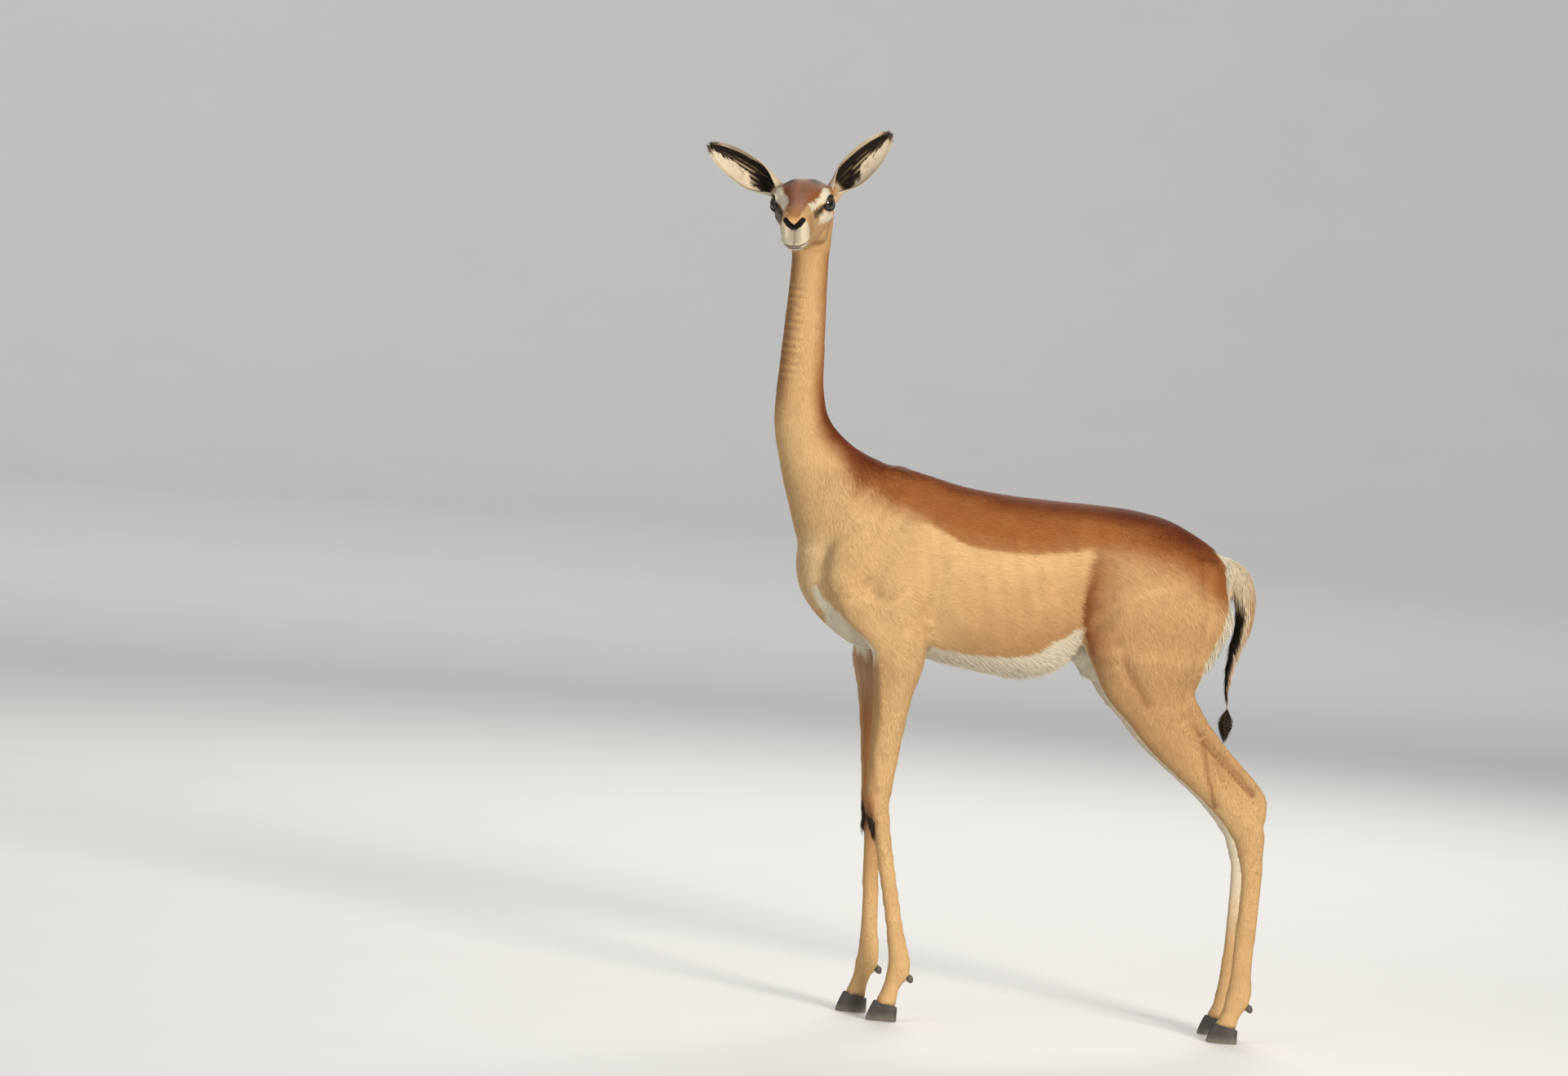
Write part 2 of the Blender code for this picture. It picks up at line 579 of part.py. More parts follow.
def head_flesh():
    rings = []
    for ahead, top, bottom, width, widest, above, below in smooth_rows(HEAD):
        level = bottom + (top - bottom) * widest
        centre = head_point(ahead, 0, level)
        rise, drop = top - level, level - bottom
        rings.append(section(centre, HEAD_LEFT, HEAD_UP, width, rise, drop, above, below, 40))
    pieces = [loft(rings), neck()]
    axes = (HEAD_FORWARD, HEAD_LEFT, HEAD_UP)
    for side in (LEFT, RIGHT):
        out = -side
        pieces.append(ball(eye_centre(side), axes, (EYE_RADIUS + LID,) * 3))
        for (ahead, sideways, up), radii in (CHEEK_MUSCLE, BROW_RIDGE):
            pieces.append(ball(head_point(ahead, out * sideways, up), axes, radii))
        pieces.append(head_row_loft([(row[0], out * row[1], *row[2:]) for row in CHEEK_ARCH]))
        root = head_point(EAR_ROOT[0], out * EAR_ROOT[1], EAR_ROOT[2])
        pieces.append(ball(root, axes, (EAR_STUB, EAR_STUB, EAR_STUB)))
        pieces.append(ear_stub(side))
    return fused(pieces, HEAD_VOXEL, 7, "head")


def ear_axes(side):
    """Along the ear, across it and the way its cup opens."""
    run = EAR_RUNS[side]
    along = head_direction((run[0], -side * run[1], run[2])).normalized()
    opens = head_direction((EAR_OPENS[0], -side * EAR_OPENS[1], EAR_OPENS[2]))
    opens = (opens - along * opens.dot(along)).normalized()
    return along, along.cross(opens), opens


def ear_stub(side):
    """The short round neck of the ear, which the cup stands on."""
    along, across, opens = ear_axes(side)
    root = head_point(EAR_ROOT[0], -side * EAR_ROOT[1], EAR_ROOT[2])
    share, radius, curl, _ = EAR[0]
    top = ear_centre(root, along, opens, share, radius, curl)
    rings = [section(root - along * 0.010, across, opens, EAR_STUB, EAR_STUB, EAR_STUB)]
    for step in (0.0, 0.008):
        reach = radius + 0.0012
        rings.append(section(top + along * step, across, opens, reach, reach, reach))
    return loft(rings)


def ear_centre(root, along, opens, share, radius, curl):
    return root + along * (EAR_LENGTH * share) + opens * (radius * math.cos(math.radians(curl)) + 0.0125)


def ear(side, name):
    """A leaf with a deep cup: an outer and an inner arc at each section, closed round the rim."""
    along, across, opens = ear_axes(side)
    root = head_point(EAR_ROOT[0], -side * EAR_ROOT[1], EAR_ROOT[2])
    steps = 11
    rings = []
    for share, radius, curl, thick in EAR:
        edge = math.radians(curl)
        centre = ear_centre(root, along, opens, share, radius, curl)
        ring = []
        for k in range(steps):
            angle = edge * (2 * k / (steps - 1) - 1)
            ring.append(centre + across * (radius * math.sin(angle)) - opens * (radius * math.cos(angle)))
        for k in reversed(range(steps)):
            share_out = 2 * k / (steps - 1) - 1
            inside = radius - thick * (1.0 - 0.62 * share_out**4)
            angle = edge * share_out * 0.985
            ring.append(centre + across * (inside * math.sin(angle)) - opens * (inside * math.cos(angle)))
        rings.append(ring)
    return loft(rings, name)


def head_nodes():
    # The head's cuts are made by MANIFOLD, as EXACT leaves open edges where the lids run thin
    head = head_flesh()
    work_marks(head, HEAD_MARKS)
    work_mouth(head)
    cut_away(head, beyond(head_point(0, 0, HEAD_CUT), -HEAD_UP), "MANIFOLD")
    thinned(head, HEAD_TRIANGLES)
    made = [head]
    for side, word in ((LEFT, "left"), (RIGHT, "right")):
        cut_away(head, eye_ball(side, EYE_RADIUS + GAP, "eye_room"), "MANIFOLD")
        cut_away(head, eye_slit(side), "MANIFOLD")
        made.append(eye_ball(side, EYE_RADIUS, f"eye_{word}"))
        along = ear_axes(side)[0]
        root = head_point(EAR_ROOT[0], -side * EAR_ROOT[1], EAR_ROOT[2])
        cut_away(head, beyond(root + along * (EAR_LENGTH * EAR[0][0] - GAP), along, 0.03), "MANIFOLD")
        made.append(ear(side, f"ear_{word}"))
    keep_largest(head)
    return made


def udder():
    return ball(Vector((0.085, 0, 0.640)), WORLD_AXES, (0.050, 0.036, 0.050))


def tail_frame(rows, k):
    """Centre and depth direction of the tail's section k."""
    before, after = rows[max(k - 1, 0)], rows[min(k + 1, len(rows) - 1)]
    along = Vector((after[0] - before[0], 0, after[1] - before[1])).normalized()
    return Vector((rows[k][0], 0, rows[k][1])), along


def tail_root():
    """The stump under the rump's hair that the tail grows from."""
    across = Vector((0, 1, 0))
    rings = []
    for x, z, radius in TAIL_ROOT:
        rings.append(section(Vector((x, 0, z)), across, Vector((-0.20, 0, 1.0)), radius, radius, radius))
    centre, along = tail_frame(TAIL, 0)
    depth = along.cross(across)
    for step in (0.0, 0.012):
        rings.append(section(centre + TAIL_AXIS * step, across, depth, TAIL[0][3] * 1.05, TAIL[0][2] * 1.05,
                             TAIL[0][2] * 1.05))
    return loft(rings)


def block(centre, axes, half):
    """A box cutter."""
    mesh = bmesh.new()
    bmesh.ops.create_cube(mesh, size=2.0)
    turn = Matrix((axes[0] * half[0], axes[1] * half[1], axes[2] * half[2])).transposed()
    for vert in mesh.verts:
        vert.co = Vector(centre) + turn @ vert.co
    mesh.normal_update()
    data = bpy.data.meshes.new("block")
    mesh.to_mesh(data)
    mesh.free()
    obj = bpy.data.objects.new("block", data)
    bpy.context.scene.collection.objects.link(obj)
    return obj


def boolean(obj, cutter, operation, solver="EXACT"):
    change = obj.modifiers.new("cut", "BOOLEAN")
    change.operation = operation
    change.solver = solver
    change.object = cutter
    apply_modifiers(obj)


def cut_away(obj, cutter, solver="EXACT"):
    boolean(obj, cutter, "DIFFERENCE", solver)
    bpy.data.objects.remove(cutter)


def beyond(point, direction, reach=1.0):
    """A block that fills everything past a plane."""
    direction = Vector(direction).normalized()
    side = direction.orthogonal().normalized()
    axes = (side, direction.cross(side), direction)
    return block(Vector(point) + direction * reach, axes, (reach, reach, reach))


def split(obj, name, point, direction):
    """Parts obj at a plane: what lies past it becomes a node of this name, and obj keeps the rest."""
    direction = Vector(direction).normalized()
    taken = obj.copy()
    taken.data = obj.data.copy()
    taken.name = name
    bpy.context.scene.collection.objects.link(taken)
    cut_away(obj, beyond(point, direction))
    cut_away(taken, beyond(Vector(point) + direction * GAP, -direction))
    return taken


def split_box(obj, name, low, high):
    """Parts obj at a box's sides: what is inside becomes a node of this name."""
    centre = (Vector(low) + Vector(high)) / 2
    half = (Vector(high) - Vector(low)) / 2
    taken = obj.copy()
    taken.data = obj.data.copy()
    taken.name = name
    bpy.context.scene.collection.objects.link(taken)
    inside = block(centre, WORLD_AXES, half)
    boolean(taken, inside, "INTERSECT")
    bpy.data.objects.remove(inside)
    cut_away(obj, block(centre, WORLD_AXES, half + Vector((GAP, GAP, GAP))))
    return taken


def keep_largest(obj):
    """Drops every loose scrap that a cut has left, and keeps the largest closed surface."""
    mesh = bmesh.new()
    mesh.from_mesh(obj.data)
    unseen, shells = set(mesh.verts), []
    while unseen:
        stack, shell = [unseen.pop()], []
        while stack:
            vert = stack.pop()
            shell.append(vert)
            for edge in vert.link_edges:
                other = edge.other_vert(vert)
                if other in unseen:
                    unseen.remove(other)
                    stack.append(other)
        shells.append(shell)
    shells.sort(key=len)
    for shell in shells[:-1]:
        bmesh.ops.delete(mesh, geom=shell, context="VERTS")
    mesh.to_mesh(obj.data)
    mesh.free()


def body_nodes(body):
    cut_away(body, beyond(head_point(0, 0, HEAD_CUT) - HEAD_UP * GAP, HEAD_UP))
    cut_away(body, beyond(Vector((TAIL[0][0], 0, TAIL[0][1])), TAIL_AXIS, 0.026))
    cut_away(body, tail_loft(2 * GAP, "tail_room"))
    axes = coronet_axes()
    for side in (LEFT, RIGHT):
        for coronet in (FORE_JOINTS[side][-1], HIND_JOINTS[side][-1]):
            rim = Vector((coronet[0], side * coronet[1], coronet[2]))
            cut_away(body, block(rim - axes[2] * 0.050, axes, (0.045, 0.035, 0.050)))
    neck_base = split(body, "neck_base", NECK_CUT, NECK_CUT_FACES)
    neck_middle = split(neck_base, "neck_middle", (0, 0, NECK_CUTS[0]), (0, 0, 1))
    neck_upper = split(neck_middle, "neck_upper", (0, 0, NECK_CUTS[1]), (0, 0, 1))
    made = [neck_base, neck_middle, neck_upper]

    rear = split(body, "rump", (BARREL_CUTS[1], 0, 0), (1, 0, 0))
    barrel = split(body, "barrel", (BARREL_CUTS[0], 0, 0), (1, 0, 0))
    body.name = "chest"
    made += [body, barrel, rear]

    bag = split_box(rear, "udder", *UDDER_BOX)
    made.append(bag)
    hind = split(rear, "hind", (0, 0, UDDER_BOX[1][2] + GAP), (0, 0, -1))
    fore = split(body, "fore", (0, 0, FORE_CUT), (0, 0, -1))
    for name, legs, parts in (("fore", fore, FORE_PARTS), ("hind", hind, HIND_PARTS)):
        right = split(legs, "right", (0, 0, 0), (0, 1, 0))
        for word, leg in (("left", legs), ("right", right)):
            rest = leg
            for part, height in parts:
                below = split(rest, "below", (0, 0, height), (0, 0, -1))
                rest.name = f"{name}_{word}_{part}"
                made.append(rest)
                rest = below
            rest.name = f"{name}_{word}_pastern"
            made.append(rest)
    for node in made:
        keep_largest(node)
    return made


def coronet_axes():
    """Forward, sideways and up of the plane between hoof and pastern."""
    forward = Vector((-math.cos(CORONET_TILT), 0, math.sin(CORONET_TILT)))
    up = Vector((math.sin(CORONET_TILT), 0, math.cos(CORONET_TILT)))
    return forward, up.cross(forward), up


def claw(joints, side, inner, name):
    """One horny claw: a curved wedge, flat below, pointed ahead, with its rim under the coronet."""
    coronet = joints[-1]
    rows = 7
    rings = []
    for share, size in CLAW_LEVELS:
        ring = []
        steps = [k / rows for k in range(rows + 1)]
        outline = [(t, min(0.72 + 2.2 * t, 1.0 - 0.80 * t**2.8)) for t in steps]
        outline += [(t, 0.12 * math.sin(math.pi * t)) for t in reversed(steps[1:-1])]
        for t, width in outline:
            ahead = CLAW_LENGTH * t * size
            rim = coronet[2] - 2 * GAP + math.tan(CORONET_TILT) * (ahead - CLAW_HEEL)
            lateral = inner * (CLEFT / 2 + CLAW_WIDTH * width * (1 - 0.07 * share))
            ring.append(Vector((coronet[0] + CLAW_HEEL - ahead, side * coronet[1] + lateral, share * rim)))
        rings.append(ring)
    return loft(rings, name)


def hooves():
    made = []
    for name, table in (("fore", FORE_JOINTS), ("hind", HIND_JOINTS)):
        for side, word in ((LEFT, "left"), (RIGHT, "right")):
            for inner, where in ((-side, "inner"), (side, "outer")):
                made.append(claw(table[side], side, inner, f"{name}_{word}_hoof_{where}"))
    return made


def tail_loft(extra, name):
    """The tail down its bent middle line, made larger all round by extra."""
    rows = smooth_rows(TAIL, 2)
    rings = []
    for k, row in enumerate(rows):
        centre, along = tail_frame(rows, k)
        if k == 0:
            along = TAIL_AXIS
            centre = centre + TAIL_AXIS * (GAP - extra)
        depth = along.cross(Vector((0, 1, 0)))
        reach = row[2] + extra
        rings.append(section(centre, Vector((0, 1, 0)), depth, row[3] + extra, reach, reach, sides=12))
    return loft(rings, name)


def lock(root, run, across, length, width, thick, sag):
    """One flat tapered lock of hair, widest a third of the way down and bending by sag towards its tip."""
    run = run.normalized()
    across = (across - run * across.dot(run)).normalized()
    flat = run.cross(across)
    rings = []
    for share, size in ((0.0, 0.60), (0.30, 1.0), (0.68, 0.72), (1.0, 0.14)):
        centre = root + run * (length * share) + sag * (length * share**2)
        wide, deep = across * (width * size), flat * (thick * (1.0 - 0.55 * share))
        rings.append([centre + wide, centre + deep, centre - wide, centre - deep])
    return loft(rings, "lock")


def grown(node, locks):
    """Fuses the locks into the node by one union and keeps the largest closed surface."""
    hair = bpy.data.collections.new("hair")
    for piece in locks:
        hair.objects.link(piece)
    join = node.modifiers.new("hair", "BOOLEAN")
    join.operation = "UNION"
    join.operand_type = "COLLECTION"
    join.collection = hair
    join.solver = "EXACT"
    apply_modifiers(node)
    for piece in locks:
        bpy.data.objects.remove(piece)
    bpy.data.collections.remove(hair)
    keep_largest(node)


def tail_fringe(dice):
    """Locks down the tail's hind edge, each lying along it with only its tip standing out."""
    count, length, width, thick = FRINGE_LOCKS
    rows = smooth_rows(TAIL, 4)
    across = Vector((0, 1, 0))
    made = []
    for k in range(count):
        place = 0.10 + 0.80 * (k + 0.5) / count
        step = round(place * (len(rows) - 1))
        centre, along = tail_frame(rows, step)
        out = -along.cross(across)
        out = out if out.x > 0 else -out
        sway = (k % 3 - 1) * 0.55 + dice.uniform(-0.15, 0.15)
        stand = (out + across * sway).normalized()
        root = centre + stand * (rows[step][2] * 0.62)
        size = 1.0 + dice.uniform(-LOCK_SPREAD, LOCK_SPREAD)
        run = along + stand * dice.uniform(0.16, 0.26)
        made.append(lock(root, run, stand.cross(along), length * size, width, thick, stand * -0.06))
    return made


def tuft_locks(dice):
    """Locks round the tuft's core, parting half way down and closing again at their tips."""
    count, length, width, thick = TUFT_LOCKS
    rows = smooth_rows(TAIL, 2)
    tip, along = tail_frame(rows, len(rows) - 1)
    across = along.cross(Vector((0, 1, 0)))
    made = []
    for k in range(count):
        angle = 2 * math.pi * (k + dice.uniform(-0.2, 0.2)) / count
        out = across * math.cos(angle) + Vector((0, 1, 0)) * math.sin(angle)
        root = tip + along * (0.010 + 0.010 * (k % 3)) + out * 0.0035
        size = 1.0 + dice.uniform(-LOCK_SPREAD, LOCK_SPREAD)
        run = along + out * dice.uniform(0.20, 0.30)
        made.append(lock(root, run, out.cross(along), length * size, width, thick, out * -0.22))
    return made


def brush_locks(side, dice):
    """Locks that droop over the front and the outer side of the leg below the knee."""
    count, length, width, thick = BRUSH_LOCKS
    below_knee = FORE_JOINTS[side][3]
    made = []
    for k in range(count):
        turn = math.radians(-30 + 100 * k / (count - 1))
        out = Vector((-math.cos(turn), side * math.sin(turn), 0))
        height = below_knee[2] + 0.028 - 0.010 * (k % 2)
        root = Vector((below_knee[0], side * below_knee[1], height)) + out * 0.0145
        size = 1.0 + dice.uniform(-LOCK_SPREAD, LOCK_SPREAD)
        run = Vector((0.10, 0, -1.0)) + out * dice.uniform(0.30, 0.42)
        made.append(lock(root, run, Vector((0, 0, 1)).cross(out), length * size, width, thick, out * -0.20))
    return made


def tail_tuft():
    """The black tuft that the tail ends in, hung GAP below its tip."""
    rows = smooth_rows(TAIL, 2)
    tip, along = tail_frame(rows, len(rows) - 1)
    across = along.cross(Vector((0, 1, 0)))
    rings = []
    for share, size in ((0.0, 0.80), (0.12, 1.30), (0.35, 1.95), (0.60, 1.90), (0.82, 1.15), (1.0, 0.30)):
        centre = tip + along * (GAP + TUFT_LENGTH * share)
        rings.append(section(centre, Vector((0, 1, 0)), across, TAIL[-1][3] * size, TAIL[-1][2] * size,
                             TAIL[-1][2] * size, sides=12))
    return loft(rings, "tail_tuft")


# Colours: red, green, blue, roughness
COLOURS = {
    "coat_rust": (0.36, 0.17, 0.075, 0.85),
    "coat_tan": (0.56, 0.34, 0.17, 0.85),
    "coat_white": (0.80, 0.75, 0.66, 0.85),
    "coat_black": (0.030, 0.026, 0.024, 0.80),
    "ear_skin": (0.62, 0.50, 0.40, 0.75),
    "eye_dark": (0.020, 0.013, 0.010, 0.08),
    "hoof_horn": (0.035, 0.031, 0.029, 0.45),
}


def material_of(name):
    if "hoof" in name:
        return "hoof_horn"
    if name.startswith("eye"):
        return "eye_dark"
    if name.startswith("ear"):
        return "ear_skin"
    if name == "tail_tuft":
        return "coat_black"
    if name in ("udder", "tail"):
        return "coat_white"
    if name in ("head", "chest", "barrel", "rump", "neck_base"):
        return "coat_rust"
    return "coat_tan"


def paint(nodes):
    made = {}
    for name, (red, green, blue, roughness) in COLOURS.items():
        material = bpy.data.materials.new(name)
        material.use_nodes = True
        shader = material.node_tree.nodes["Principled BSDF"]
        shader.inputs["Base Color"].default_value = (red, green, blue, 1.0)
        shader.inputs["Roughness"].default_value = roughness
        shader.inputs["Metallic"].default_value = 0.0
        made[name] = material
    for node in nodes:
        node.data.materials.clear()
        node.data.materials.append(made[material_of(node.name)])


def main():
    clear_scene()
    body = thinned(body_flesh(), BODY_TRIANGLES)
    nodes = body_nodes(body)
    dice = np.random.default_rng(SEED)
    for side, name in ((LEFT, "fore_left_cannon"), (RIGHT, "fore_right_cannon")):
        grown(bpy.data.objects[name], brush_locks(side, dice))
    nodes += hooves()
    tail = tail_loft(0.0, "tail")
    grown(tail, tail_fringe(dice))
    tuft = tail_tuft()
    grown(tuft, tuft_locks(dice))
    nodes += [tail, tuft]
    nodes += head_nodes()
    paint(nodes)
    for node in nodes:
        node.data.transform(Matrix.Translation((ORIGIN_SHIFT[0], ORIGIN_SHIFT[1], 0.0)))
        node.data.shade_smooth()
        node.data.set_sharp_from_angle(angle=math.radians(45.0))


main()
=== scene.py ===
# A standing gerenuk hen, life size, in the pose of the photograph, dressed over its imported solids.
# Everything is in metres and +Z is up. The animal faces -X, its left side is at -Y.
import math

import bmesh
import bpy
import numpy as np
from mathutils import Matrix, Vector
from mathutils.bvhtree import BVHTree


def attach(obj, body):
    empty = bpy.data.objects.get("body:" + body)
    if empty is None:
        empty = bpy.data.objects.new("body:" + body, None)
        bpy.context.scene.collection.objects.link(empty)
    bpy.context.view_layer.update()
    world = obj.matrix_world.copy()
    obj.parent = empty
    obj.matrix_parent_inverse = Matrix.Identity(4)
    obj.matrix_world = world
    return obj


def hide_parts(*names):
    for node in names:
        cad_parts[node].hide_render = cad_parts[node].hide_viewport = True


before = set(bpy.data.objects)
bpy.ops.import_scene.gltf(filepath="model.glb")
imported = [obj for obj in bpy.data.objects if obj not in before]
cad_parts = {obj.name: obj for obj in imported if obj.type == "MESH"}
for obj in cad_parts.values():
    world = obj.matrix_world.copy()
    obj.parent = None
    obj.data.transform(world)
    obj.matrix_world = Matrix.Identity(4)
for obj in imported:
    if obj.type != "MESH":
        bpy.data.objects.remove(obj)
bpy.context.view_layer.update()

left, right = -1, 1  # which side of the animal, as the sign of Y
shift = np.array((0.12694, 0.02957, 0.0))  # from the animal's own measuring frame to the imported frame
across = np.array((0.0, 1.0, 0.0))
straightUp = np.array((0.0, 0.0, 1.0))
print("frame loaded,", len(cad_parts), "nodes")


# Numbers and arrays

def unit(vectors):
    vectors = np.asarray(vectors, float)
    size = np.linalg.norm(vectors, axis=-1, keepdims=True)
    return vectors / np.maximum(size, 1e-12)


def mix(low, high, share):
    return low + (high - low) * share


def ramp(low, high, value):
    t = np.clip((value - low) / (high - low), 0.0, 1.0)
    return t * t * (3.0 - 2.0 * t)


def bump(value, middle, width):
    return np.exp(-(((value - middle) / width) ** 2))


def cloud(points, size, seed=0):
    cell = points / size + seed * 17.31
    low = np.floor(cell).astype(np.int64)
    part = cell - low
    part = part * part * (3.0 - 2.0 * part)
    total = np.zeros(len(points))
    for corner in range(8):
        step = np.array(((corner >> 2) & 1, (corner >> 1) & 1, corner & 1))
        at = low + step
        mixed = (at[:, 0] * 73856093) ^ (at[:, 1] * 19349663) ^ (at[:, 2] * 83492791)
        mixed = (mixed ^ (mixed >> 13)) * 1274126177 & 0x7FFFFFFF
        value = ((mixed >> 8) & 0xFFFF) / 65535.0
        weight = np.prod(np.where(step == 1, part, 1.0 - part), axis=1)
        total += value * weight
    return total


def roughCloud(points, size, seed=0):
    return 0.55 * cloud(points, size, seed) + 0.3 * cloud(points, size / 2.1, seed + 3) + \
        0.15 * cloud(points, size / 4.3, seed + 7)


def smoothRows(rows, steps=4):  # rows between the given ones, so that a loft bends without corners
    rows = [np.array(row, float) for row in rows]
    padded = [2 * rows[0] - rows[1], *rows, 2 * rows[-1] - rows[-2]]
    made = []
    for before, start, end, after in zip(padded, padded[1:], padded[2:], padded[3:]):
        for step in range(steps):
            t = step / steps
            square = (2 * before - 5 * start + 4 * end - after) * t**2
            cube = (3 * start - before - 3 * end + after) * t**3
            made.append(0.5 * (2 * start + (end - before) * t + square + cube))
    return [*made, rows[-1]]


def roundedRows(rows):  # shrinking rows past both ends, so that a muscle runs out
    ends = []
    for end, inner in ((rows[0], rows[1]), (rows[-1], rows[-2])):
        end, inner = np.array(end, float), np.array(inner, float)
        way = unit(end[:3] - inner[:3])
        ends.append([np.concatenate([end[:3] + way * end[3] * step, end[3:] * size])
                     for step, size in ((0.35, 0.9), (0.65, 0.68), (0.85, 0.3))])
    return [*reversed(ends[0]), *rows, *ends[1]]


def pathDistance(points, path):  # how far each point lies from a line, and its share of the way along
    best, along = np.full(len(points), 9.0), np.zeros(len(points))
    path = np.array(path, float)
    for k in range(len(path) - 1):
        start, run = path[k], path[k + 1] - path[k]
        share = np.clip((points - start) @ run / (run @ run), 0.0, 1.0)
        reach = np.linalg.norm(points - start - share[:, None] * run, axis=1)
        nearer = reach < best
        best[nearer] = reach[nearer]
        along[nearer] = (k + share[nearer]) / (len(path) - 1)
    return best, along


# Shapes as lists of points and faces

def ringOf(centre, sideways, up, halfWidth, rise, drop, above=2.0, below=2.0, sides=40):
    angle = 2 * math.pi * np.arange(sides) / sides
    power = 2.0 / np.where(np.sin(angle) >= 0, above, below)
    wide = np.sign(np.cos(angle)) * np.abs(np.cos(angle)) ** power
    high = np.sign(np.sin(angle)) * np.abs(np.sin(angle)) ** power
    reach = np.where(high >= 0, rise, drop)
    return centre + np.outer(wide * halfWidth, sideways) + np.outer(high * reach, up)


def loft(rings):
    sides, count = len(rings[0]), len(rings)
    points = np.concatenate(rings)
    faces = []
    for row in range(count - 1):
        for k in range(sides):
            after = (k + 1) % sides
            low = row * sides
            faces.append((low + k, low + after, low + sides + after, low + sides + k))
    faces.append(tuple(reversed(range(sides))))
    faces.append(tuple(range((count - 1) * sides, count * sides)))
    return points, faces


def tube(rows, sideways, sides=28):  # a loft through rows of place, half depth and half width
    places = [row[:3] for row in rows]
    rings = []
    for k, row in enumerate(rows):
        along = places[min(k + 1, len(rows) - 1)] - places[max(k - 1, 0)]
        depth = unit(np.cross(along, sideways))
        rings.append(ringOf(places[k], sideways, depth, row[4], row[3], row[3], sides=sides))
    return loft(rings)


def ball(centre, axes, radii, segments=32):
    rings = []
    for k in range(1, segments // 2):
        angle = math.pi * k / (segments // 2)
        size, level = math.sin(angle), math.cos(angle)
        rings.append(ringOf(centre - axes[2] * radii[2] * level, axes[0], axes[1], radii[0] * size,
                            radii[1] * size, radii[1] * size, sides=segments))
    return loft(rings)


def objectOf(name, points, faces):
    mesh = bpy.data.meshes.new(name)
    mesh.from_pydata([tuple(point) for point in np.asarray(points, float)], [],
        [tuple(face) for face in faces])
    made = bpy.data.objects.new(name, mesh)
    bpy.context.scene.collection.objects.link(made)
    return made


def joined(shapes):
    points, faces, start = [], [], 0
    for shapePoints, shapeFaces in shapes:
        points.append(shapePoints)
        faces += [tuple(start + k for k in face) for face in shapeFaces]
        start += len(shapePoints)
    return np.concatenate(points), faces


def turnedOutward(made):
    shell = bmesh.new()
    shell.from_mesh(made.data)
    bmesh.ops.recalc_face_normals(shell, faces=shell.faces)
    shell.to_mesh(made.data)
    shell.free()


def baked(made):  # modifiers become the mesh
    graph = bpy.context.evaluated_depsgraph_get()
    mesh = bpy.data.meshes.new_from_object(made.evaluated_get(graph))
    made.modifiers.clear()
    old = made.data
    made.data = mesh
    bpy.data.meshes.remove(old)


def placesOf(mesh):
    places = np.empty(len(mesh.vertices) * 3)
    mesh.vertices.foreach_get("co", places)
    return places.reshape(-1, 3)


def normalsOf(mesh):
    normals = np.empty(len(mesh.vertices) * 3)
    mesh.vertices.foreach_get("normal", normals)
    return normals.reshape(-1, 3)


def setPlaces(mesh, places):
    mesh.vertices.foreach_set("co", np.asarray(places, float).ravel())
    mesh.update()


def edgesOf(mesh):
    edges = np.empty(len(mesh.edges) * 2, dtype=np.int64)
    mesh.edges.foreach_get("vertices", edges)
    return edges.reshape(-1, 2)


def averaged(values, edges, count):  # each vertex's mean over its neighbours
    ends = np.concatenate([edges[:, 0], edges[:, 1]])
    others = np.concatenate([edges[:, 1], edges[:, 0]])
    links = np.maximum(np.bincount(ends, minlength=count), 1)
    columns = [np.bincount(ends, weights=values[others, k], minlength=count)
        / links for k in range(values.shape[1])]
    return np.stack(columns, axis=1)


def relaxed(mesh, rounds, factor=0.5, weight=None):
    edges, places = edgesOf(mesh), placesOf(mesh)
    for _ in range(rounds):
        step = (averaged(places, edges, len(places)) - places) * factor
        places = places + (step if weight is None else step * weight[:, None])
    setPlaces(mesh, places)


def remeshed(shapes, voxel, rounds, name):
    made = objectOf(name, *joined(shapes))
    turnedOutward(made)
    skinning = made.modifiers.new("skinning", "REMESH")
    skinning.mode = "VOXEL"
    skinning.voxel_size = voxel
    baked(made)
    relaxed(made.data, rounds)
    return made


def keepValues(mesh, name, values, domain="POINT"):
    kind = "FLOAT" if np.ndim(values) == 1 else "FLOAT_VECTOR"
    slot = mesh.attributes.new(name, kind, domain)
    slot.data.foreach_set("value" if kind == "FLOAT" else "vector", np.asarray(values, np.float32).ravel())


# Sizes of the flesh under the coat, the same named forms that the solids are built from

